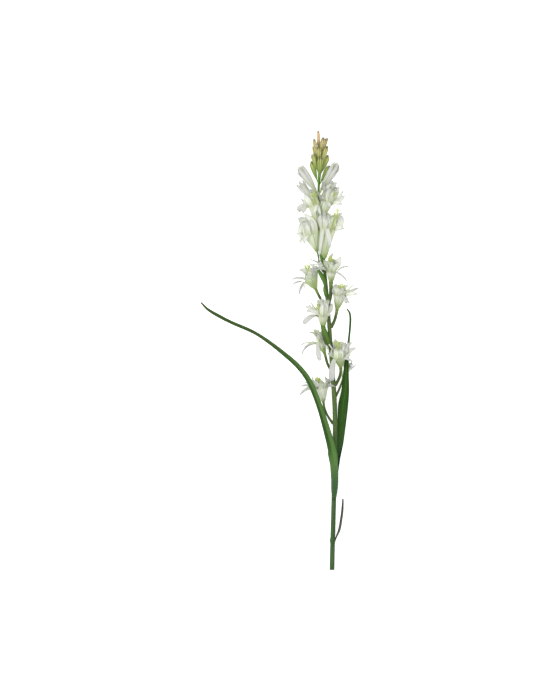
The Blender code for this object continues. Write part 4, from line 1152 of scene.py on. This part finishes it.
# More outer petals, narrow ones: tip, width.
THIN_PETALS = {
    "floret_01": [((-47.6, 319.6, 6.0), 4.0), ((-4.3, 324.7, 18.0), 6.0),
                  ((-12.0, 328.5, 10.0), 6.0), ((-34.0, 328.0, 6.0), 5.0)],
    "floret_03": [((27.2, 386.0, 34.0), 6.0), ((30.6, 364.0, 40.0), 5.0),
                  ((24.0, 380.0, 40.0), 5.5), ((-1.7, 375.0, 34.0), 5.0)],
    "floret_04": [((-47.0, 377.5, 20.0), 3.0), ((-54.0, 381.5, 14.0), 3.4),
                  ((2.5, 371.5, 35.0), 3.0), ((-5.6, 373.2, 33.0), 3.0)],
    "floret_05": [((-39.0, 450.5, 36.0), 4.0), ((-35.0, 454.0, 26.0), 5.0)],
    "floret_06": [((23.8, 454.0, 42.0), 8.0), ((36.0, 485.0, 12.0), 4.0)],
    "floret_07": [((-46.5, 479.5, 24.0), 4.0), ((-32.3, 520.0, 26.0), 5.0),
                  ((-27.5, 511.0, 30.0), 6.0), ((-39.0, 522.0, 14.0), 4.0)],
    "floret_08": [((-30.6, 507.0, 50.0), 3.0), ((-27.0, 524.0, 44.0), 3.0),
                  ((-35.0, 519.0, 47.0), 2.4), ((-24.0, 529.0, 40.0), 2.4)],
    "floret_09": [((-53.0, 589.0, 20.0), 9.0), ((-51.0, 562.0, 32.0), 6.0),
                  ((-45.0, 590.0, 42.0), 7.0), ((-36.0, 594.0, 40.0), 6.0)],
    "floret_10": [((17.0, 600.0, 34.0), 15.0), ((-21.5, 534.0, 42.0), 6.5),
                  ((1.0, 600.0, 50.0), 7.0), ((-9.0, 596.0, 48.0), 7.0)],
    "floret_11": [((-52.0, 630.0, 34.0), 6.0), ((-23.5, 620.0, 41.0), 6.0),
                  ((-20.0, 603.0, 42.0), 6.0)],
    "floret_12": [((7.0, 657.5, 30.0), 9.0), ((-1.0, 656.0, 34.0), 8.0), ((12.0, 651.0, 26.0), 8.0),
                  ((19.0, 645.0, 30.0), 5.0), ((-18.0, 634.0, 42.0), 6.0)],
}
THIN_INSET = 0.8          # how far inside the other petals they start
THIN_WRAP = 0.2           # half the angle that they take of the tube, in radians
THIN_FACE = 0.8           # how far they turn their face up

CORE_RADII = (1.7, 1.9, 2.1, 2.2, 2.2, 2.0, 1.2)  # the flesh inside the foot of a tube
CORE_REACH = 3            # the step of the tube that it ends at
CORE_SIDES = 12
# The stamens: how far their tips spread, radius of a thread, length and radius of an anther.
SPLAY, THREAD, ANTHER, ANTHER_WIDTH = 2.3, 0.7, 8.5, 1.0
# How far each floret's stamens lean from the way its tube faces, sideways and forward.
STAMEN_LEAN = {
    "floret_01": (-0.2, 0.1), "floret_03": (0.0, 0.2), "floret_05": (-0.30, 0.25),
    "floret_07": (0.12, 0.0), "floret_08": (-0.08, 0.0), "floret_10": (0.13, 0.35),
    "floret_11": (0.15, 0.45),
}
SEEDS = 100               # the seed that spreads a floret's stamens is drawn from so many


def tube_line(spec):
    """The middle line of a floret's tube, from its foot or, with no stalk, from the stem."""
    foot, mouth = Vector(spec["foot"]), Vector(spec["mouth"])
    if spec["stalk"]:
        return [foot.lerp(mouth, share) for share in shares(TUBE_STEPS)]
    seat, away, _ = stem_seat(spec["leaves_at"], foot)
    handle = seat + away * (foot - seat).length * TUBE_HANDLE
    return [bezier(seat - away * SUNK, handle, foot, mouth, share) for share in shares(TUBE_STEPS)]


def axes_across(facing):
    """Two directions across a floret: to its right, and towards its front."""
    first = facing.cross(Vector((0.0, 0.3, 1.0))).normalized()
    return first, first.cross(facing)


class Floret:
    """A floret that is being grown: its tube, and the petals that part at its mouth."""

    def __init__(self, spec):
        self.name = spec["name"]
        self.girth = spec["girth"]
        self.mouth = Vector(spec["mouth"])
        self.centres = tube_line(spec)
        self.tangents = directions(self.centres)
        self.facing = self.tangents[-1]
        self.first, self.other = axes_across(self.facing)
        self.tips = [Vector(tip) for tip in spec["tips"]]
        self.roll = self.turn_to_tips()
        self.random = Random(self.name)
        self.shape = Shape()

    def turn_to_tips(self):
        """How far the ring of six petals is turned round the axis, so that each faces its tip."""
        step = 2 * pi / PETALS
        ways = [tip - self.mouth for tip in self.tips]
        turns = [atan2(way.dot(self.other), way.dot(self.first)) - step * k
                 for k, way in enumerate(ways)]
        return atan2(sum(map(sin, turns)), sum(map(cos, turns)))

    def outward(self, turn):
        """The way out of the mouth at a turn round the axis."""
        return self.first * cos(turn) + self.other * sin(turn)

    def radius(self, share):
        """The tube's radius at a share of its length; its girth tells more towards its mouth."""
        return profile_at(TUBE_PROFILE, share) * (1 + (self.girth - 1) * share)

    def petal_curve(self, outward, tip, inset):
        """A petal's middle line: it leaves along the tube's flare and arches over to its tip."""
        start = self.mouth + outward * (self.radius(1.0) - inset)
        leaving = (self.facing * PETAL_LEAVES[0] + outward * PETAL_LEAVES[1]).normalized()
        reach = (tip - start).length
        way = (tip - start) / reach
        turned = leaving.angle(way)
        droop = turned if turned < STEEP else (pi - turned) / 2
        fall = (way * leaving.dot(way) - leaving).normalized()
        arriving = way * cos(droop) + fall * sin(droop)
        handle = reach * PETAL_BEND
        return start, start + leaving * handle, tip - arriving * handle, tip

    def cup_curve(self, outward, rim, rim_radius, height_share, opened, inset):
        """A cup petal's middle line: straight up from the mouth, and flared at the rim."""
        start = self.mouth + outward * (self.radius(1.0) - inset)
        front = max(0.0, outward.dot(UP))
        height = (rim - self.mouth) * height_share * (1 - opened * front)
        flare = outward * (rim_radius + CUP_OPEN * front)
        tip = self.mouth + height + flare + self.facing * self.random.uniform(*UNEVEN)
        handle = (tip - start).length * PETAL_BEND
        leaving = (self.facing * CUP_START[0] + outward * CUP_START[1]).normalized()
        arriving = (self.facing * CUP_END[0] + outward * CUP_END[1]).normalized()
        return start, start + leaving * handle, tip - arriving * handle, tip

    def grow(self, curve, outward, inset, outline, width, face, shade, wrap, from_foot=False):
        """Grows a petal along a curve. At the mouth it takes the angle wrap of the tube on each
        side. From the foot, the sixth of the tube that it is fused into comes first."""
        phase = self.random.uniform(0, 2 * pi)
        rows = []

        def row_at(centre, side, inward, wide, bend, along, free):
            row = []
            ahead = side.cross(inward)
            over = arc_across(centre, side, inward, wide, bend, PETAL_COLUMNS)
            for place, middle, normal in over:
                half = half_thickness(PETAL_THICKNESS, place, PETAL_EDGE_THINNER)
                half *= 1 - PETAL_TIP_THINNER * along
                turn = along * WAVE_TURNS[0] + phase + place * WAVE_TURNS[1]
                wave = PETAL_WAVE * free * sin(turn) * place * abs(place)
                sides, between, close = NOTCHES
                notch = RAGGED * free ** 8 * (sides * place ** 2
                                              + between * sin(place * close + phase) ** 2)
                middle = above_surface(middle + normal * wave - ahead * notch, half)
                shown = shade * min(1.0, SHADE_GROWS[0] + SHADE_GROWS[1] * free)
                row.append((middle, normal, half, (place, shown, along)))
            rows.append(row)

        for k in range(TUBE_STEPS if from_foot else 0):
            share = k / TUBE_STEPS
            spot = share * (len(self.centres) - 1)
            low = min(int(spot), len(self.centres) - 2)
            centre = self.centres[low].lerp(self.centres[low + 1], spot - low)
            tangent = self.tangents[low].lerp(self.tangents[low + 1], spot - low).normalized()
            out = (outward - tangent * outward.dot(tangent)).normalized()
            radius = self.radius(share) - inset
            row_at(centre + out * radius, out.cross(tangent), -out, 2 * TUBE_WRAP * radius,
                   1 / radius, share * TUBE_SHARE, 0.0)

        start, tip = curve[0], curve[-1]
        mouth_radius = self.radius(1.0) - inset
        narrowing = BASE_NARROWS * max(1.0, THIN_PETAL / width)
        round_axis = outward.cross(self.facing)
        arc_side = (curve[1] - start).cross(tip - start).normalized()
        if arc_side.dot(round_axis) < 0:
            arc_side = -arc_side
        arc_side = (arc_side + round_axis * ROUND_SHARE).normalized()
        flat_side = UP.cross(tip - start)
        flat_side = flat_side.normalized() * (1 if flat_side.dot(arc_side) > 0 else -1)
        for share in shares(PETAL_STEPS):
            before = bezier(*curve, max(0.0, share - NEARBY))
            after = bezier(*curve, min(1.0, share + NEARBY))
            along = (after - before).normalized()
            side = round_axis.lerp(arc_side, min(1.0, PETAL_TWIST * share))
            side = side.lerp(flat_side, face * min(1.0, 2 * share))
            side = (side - along * side.dot(along)).normalized()
            base = 2 * wrap * mouth_radius * (1 - narrowing * share)
            wide = max(base, width * profile_at(outline, share))
            bend = (1 - share) ** 2 / mouth_radius + share * TIP_BEND
            row_at(bezier(*curve, share), side, side.cross(along), wide, bend,
                   TUBE_SHARE + (1 - TUBE_SHARE) * share, share)
        self.shape.strip(rows)

    def outer_petals(self):
        """The tube and the six petals that it parts into, each out to its tip."""
        for k, (tip, full_width, face) in enumerate(zip(self.tips, *PETAL_SIZE[self.name])):
            outward = self.outward(self.roll + 2 * pi * k / PETALS)
            width = full_width * min(1.0, (tip - self.mouth).length / FULL_REACH)
            # Narrow petals and those that lie flat get deeper painted shade.
            deep_shaded = full_width < THIN_PETAL or face == FULL_FACE
            shade = self.random.uniform(*(DEEP_SHADE if deep_shaded else PLAIN_SHADE))
            inset = k % 2 * INNER_RING
            outline = BLUNT_SHAPE if face == FULL_FACE else PETAL_SHAPE
            self.grow(self.petal_curve(outward, tip, inset), outward, inset, outline, width, face,
                      shade, TUBE_WRAP, from_foot=True)

    def cup(self):
        """The inner petals, three whorls of them, which stand up round the stamens."""
        rim, rim_radius, opened = CUPS[self.name]
        for ring_share, height_share, wide, offset, deep in WHORLS:
            round_it = 2 * pi * rim_radius * ring_share
            count = max(PETALS, round(round_it / wide))
            for k in range(count):
                outward = self.outward(self.roll + 2 * pi * (k + offset) / count)
                inset = deep + k % 2 * CUP_STEP
                curve = self.cup_curve(outward, Vector(rim), rim_radius * ring_share, height_share,
                                       opened, inset)
                width = round_it / count * self.random.uniform(*CUP_OVERLAP)
                shade = self.random.uniform(*CUP_SHADE)
                self.grow(curve, outward, inset, CUP_SHAPE, width, 0.0, shade,
                          pi / count * CUP_OVERLAP[0])

    def thin_petals(self):
        """The narrow petals between the others, greyed by painted shade."""
        for tip, width in THIN_PETALS.get(self.name, []):
            way = Vector(tip) - self.mouth
            outward = (way - self.facing * way.dot(self.facing)).normalized()
            curve = self.petal_curve(outward, Vector(tip), THIN_INSET)
            shade = self.random.uniform(*THIN_SHADE)
            self.grow(curve, outward, THIN_INSET, PETAL_SHAPE, width, THIN_FACE, shade, THIN_WRAP)

    def core(self):
        """The flesh that closes the foot of the tube."""
        start, end = self.centres[0], self.centres[CORE_REACH]
        centres = [start.lerp(end, share) for share in shares(len(CORE_RADII) - 1)]
        self.shape.bar(centres, CORE_RADII, CORE_SIDES)


def perianth_piece(floret, skin):
    """A floret's tube and all its petals, as one piece."""
    floret.outer_petals()
    floret.cup()
    floret.thin_petals()
    floret.core()
    name = floret.name + "_perianth"
    piece(name + "_petals", floret.shape, skin, name)


def stamens_piece(floret, past_mouth, stamens, skin):
    """A floret's stamens and style, which start halfway down its tube."""
    pit = floret.centres[len(floret.centres) // 2]
    length = (floret.mouth - pit).dot(floret.facing) + past_mouth
    sideways, forward = STAMEN_LEAN.get(floret.name, (0.0, 0.0))
    facing = (floret.facing + Vector((sideways, 0.0, forward))).normalized()
    first, other = axes_across(facing)
    anchor = bpy.data.objects.new("anchor", bpy.data.meshes.new("anchor"))
    bpy.context.scene.collection.objects.link(anchor)
    name = floret.name + "_stamens"
    mesh = grown(name, anchor, stamens, {
        "Count": STAMENS, "Length": length * MM,
        "Splay": SPLAY * min(1.0, floret.girth) ** 2 * MM, "Thread": THREAD * MM,
        "Anther": ANTHER * MM, "Anther Width": ANTHER_WIDTH * MM,
        "Seed": floret.random.randrange(SEEDS), "Skin": skin})
    turned = Matrix((first, -other, facing)).transposed().to_4x4()
    mesh.transform(Matrix.Translation((pit - ORIGIN) * MM) @ turned)
    show(name + "_threads", mesh, name)


# ------------------------------------------------------------------- buds

WHITE_BUD_CURVE = [(0.0, 0.26), (0.20, 0.32), (0.38, 0.52), (0.58, 0.78), (0.78, 1.0), (0.90, 1.0),
                   (0.97, 0.80), (1.0, 0.55)]
GREEN_BUD_CURVE = [(0.0, 0.28), (0.22, 0.32), (0.40, 0.54), (0.58, 0.84), (0.76, 1.0), (0.88, 0.90),
                   (0.96, 0.58), (1.0, 0.24)]
TOP_BUD_CURVE = [(0.0, 0.62), (0.2, 0.86), (0.45, 1.0), (0.75, 0.92), (0.92, 0.72), (1.0, 0.30)]
BUD_STEPS = 22
CORE_SHARE = 0.86         # a bud's core, as a share of its own radius
CORE_END = 0.6            # how much thinner the core is at its tip, as a share
CORE_NARROWS = (0.7, 0.3)  # where it gets thinner: from this share of its length, over this one
FOLD_START = 0.26         # share of a bud's length where its folded petals begin
FOLD_SHAPE = [(0.0, 0.7), (0.3, 0.95), (0.6, 1.0), (0.84, 0.80), (0.95, 0.45), (1.0, 0.12)]
FOLD_SHADE = (0.5, 1.0)
FOLD_COLUMNS = 8
FOLD_THICKNESS = 0.6
FOLD_OVERLAP = 1.25       # a fold's width, as a share of its sixth of the way round
FOLD_LEAST = 0.8          # a fold is never bent tighter than this radius
FOLDS_PART = (0.55, 0.45)  # where folds part: from this share of their length, over this one
INNER_FOLD = (0.93, 0.6)  # how far out every other fold lies and how far it parts, as shares


def bud_frames(tangents):
    """Two directions across a bud at each point of its middle line, which don't twist along it."""
    first = tangents[0].cross(ASLANT).normalized()
    frames = []
    for tangent in tangents:
        first = (first - tangent * first.dot(tangent)).normalized()
        frames.append((first.copy(), tangent.cross(first)))
    return frames


def folded_bud(name, centres, outline, thickness, opening, skin):
    """A bud: a round stalk and core, and petals folded over it whose tips begin to part."""
    random = Random(name)
    tangents = directions(centres)
    radii = [thickness / 2 * profile_at(outline, share) for share in shares(BUD_STEPS)]
    start, length = CORE_NARROWS
    cores = [radius * CORE_SHARE * (1 - CORE_END * max(0.0, share - start) / length)
             for share, radius in zip(shares(BUD_STEPS), radii)]
    shape = Shape()
    shape.bar(centres, cores, CORE_SIDES, random.random())
    frames = bud_frames(tangents)
    turn = random.uniform(0, 2 * pi)
    for k in range(PETALS):
        deep, lifted = INNER_FOLD if k % 2 else (1.0, 1.0)
        angle = turn + 2 * pi * k / PETALS
        shade = random.uniform(*FOLD_SHADE)
        rows = []
        for i in range(int(FOLD_START * BUD_STEPS), BUD_STEPS + 1):
            share = max(0.0, (i / BUD_STEPS - FOLD_START) / (1 - FOLD_START))
            first, other = frames[i]
            out = first * cos(angle) + other * sin(angle)
            radius = radii[i] * deep
            parted = max(0.0, (share - FOLDS_PART[0]) / FOLDS_PART[1])
            lift = opening * parted ** 2 * lifted
            wide = 2 * pi / PETALS * FOLD_OVERLAP * radius * profile_at(FOLD_SHAPE, share)
            over = arc_across(centres[i] + out * (radius + lift), out.cross(tangents[i]), -out,
                              wide, 1 / max(radius, FOLD_LEAST), FOLD_COLUMNS)
            row = []
            for place, middle, normal in over:
                half = half_thickness(FOLD_THICKNESS, place)
                row.append((above_surface(middle, half), normal, half,
                            (place, shade, FOLD_START + (1 - FOLD_START) * share)))
            rows.append(row)
        shape.strip(rows)
    piece(name + "_folds", shape, skin, name)


def side_bud(row, outline, fuller, opening, skin):
    """A bud on its own short stalk, which rises from the stem and leans out to its tip."""
    name, leaves_at, fullest, tip, thickness = row
    fullest, tip = Vector(fullest), Vector(tip)
    seat, away, along = stem_seat(leaves_at, fullest)
    reach = (fullest - seat).length
    rising = (away + along * BUD_RISE).normalized()
    bend = seat + rising * reach * BUD_BEND
    lean = fullest - (tip - fullest) * BUD_LEAN
    start = seat - rising * 2 * SUNK
    centres = [bezier(start, bend, lean, tip, share) for share in shares(BUD_STEPS)]
    folded_bud(name, centres, outline, thickness * fuller, opening, skin)


def end_bud(skins):
    """The bud that ends the stem."""
    name, tip, thickness = TOP_BUD
    centres = [STEM_LINE[-1].lerp(Vector(tip), share) for share in shares(BUD_STEPS)]
    folded_bud(name, centres, TOP_BUD_CURVE, thickness, 0.5, skins["top_bud"])


# ------------------------------------------------------------------ stage

# Lengths on the stage are in metres, from the middle of the part.
BOARD_HALF = 6.0
LAMPS = {"key": ((-1.1, 0.6, 2.2), 1.8, 42.0), "fill": ((1.2, 1.0, 1.8), 1.6, 18.0)}
ROOM_LIGHT = 0.48
CAMERA_PLACE = (0.0006, 0.0008, 6.0)
LENS = 181.2


def board(skins):
    """The plain pale floor that the stem lies on."""
    mesh = bpy.data.meshes.new("floor")
    corners = [(x * BOARD_HALF, y * BOARD_HALF, 0.0)
               for x, y in ((-1, -1), (1, -1), (1, 1), (-1, 1))]
    mesh.from_pydata(corners, [], [(0, 1, 2, 3)])
    mesh.materials.append(skins["floor"])
    obj = bpy.data.objects.new("floor", mesh)
    bpy.context.scene.collection.objects.link(obj)


def lamp(name, place, size, watts):
    """A square soft light that looks at the middle of the part."""
    light = bpy.data.lights.new(name, "AREA")
    light.size = size
    light.energy = watts
    obj = bpy.data.objects.new(name, light)
    obj.location = place
    obj.rotation_euler = (-Vector(place)).to_track_quat("-Z", "Y").to_euler()
    bpy.context.scene.collection.objects.link(obj)


def stage(skins):
    """The board, the lights and the camera, which looks straight down."""
    scene = bpy.context.scene
    board(skins)
    for name, (place, size, watts) in LAMPS.items():
        lamp(name, place, size, watts)
    world = bpy.data.worlds.new("studio")
    world.use_nodes = True
    room = world.node_tree.nodes["Background"]
    room.inputs["Color"].default_value = WHITE_LIGHT
    room.inputs["Strength"].default_value = ROOM_LIGHT
    scene.world = world
    scene.view_settings.view_transform = "Standard"
    lens = bpy.data.cameras.new("camera")
    lens.lens = LENS
    camera = bpy.data.objects.new("camera", lens)
    camera.location = CAMERA_PLACE
    scene.collection.objects.link(camera)
    scene.camera = camera


def main():
    """Every piece, from the stem up, and then the stage."""
    skins = all_materials()
    bars, stamens = bar_tree(), stamen_tree()
    stem_piece(bars, skins)
    for spec in LEAVES:
        leaf_piece(spec, skins)
    for row in BRACTS:
        bract_piece(*row, skins)
    sheath_piece(skins)
    for spec in FLORETS:
        if spec["stalk"]:
            stalk_piece(spec, bars, skins)
        floret = Floret(spec)
        perianth_piece(floret, skins[spec.get("skin", "petal")])
        stamens_piece(floret, spec["stamens"], stamens, skins["stamen"])
    for row in WHITE_BUDS:
        side_bud(row, WHITE_BUD_CURVE, 1.2, 3.2, skins["white_bud"])
    for row in GREEN_BUDS:
        side_bud(row, GREEN_BUD_CURVE, 1.1, 0.9, skins["green_bud"])
    end_bud(skins)
    stage(skins)


main()
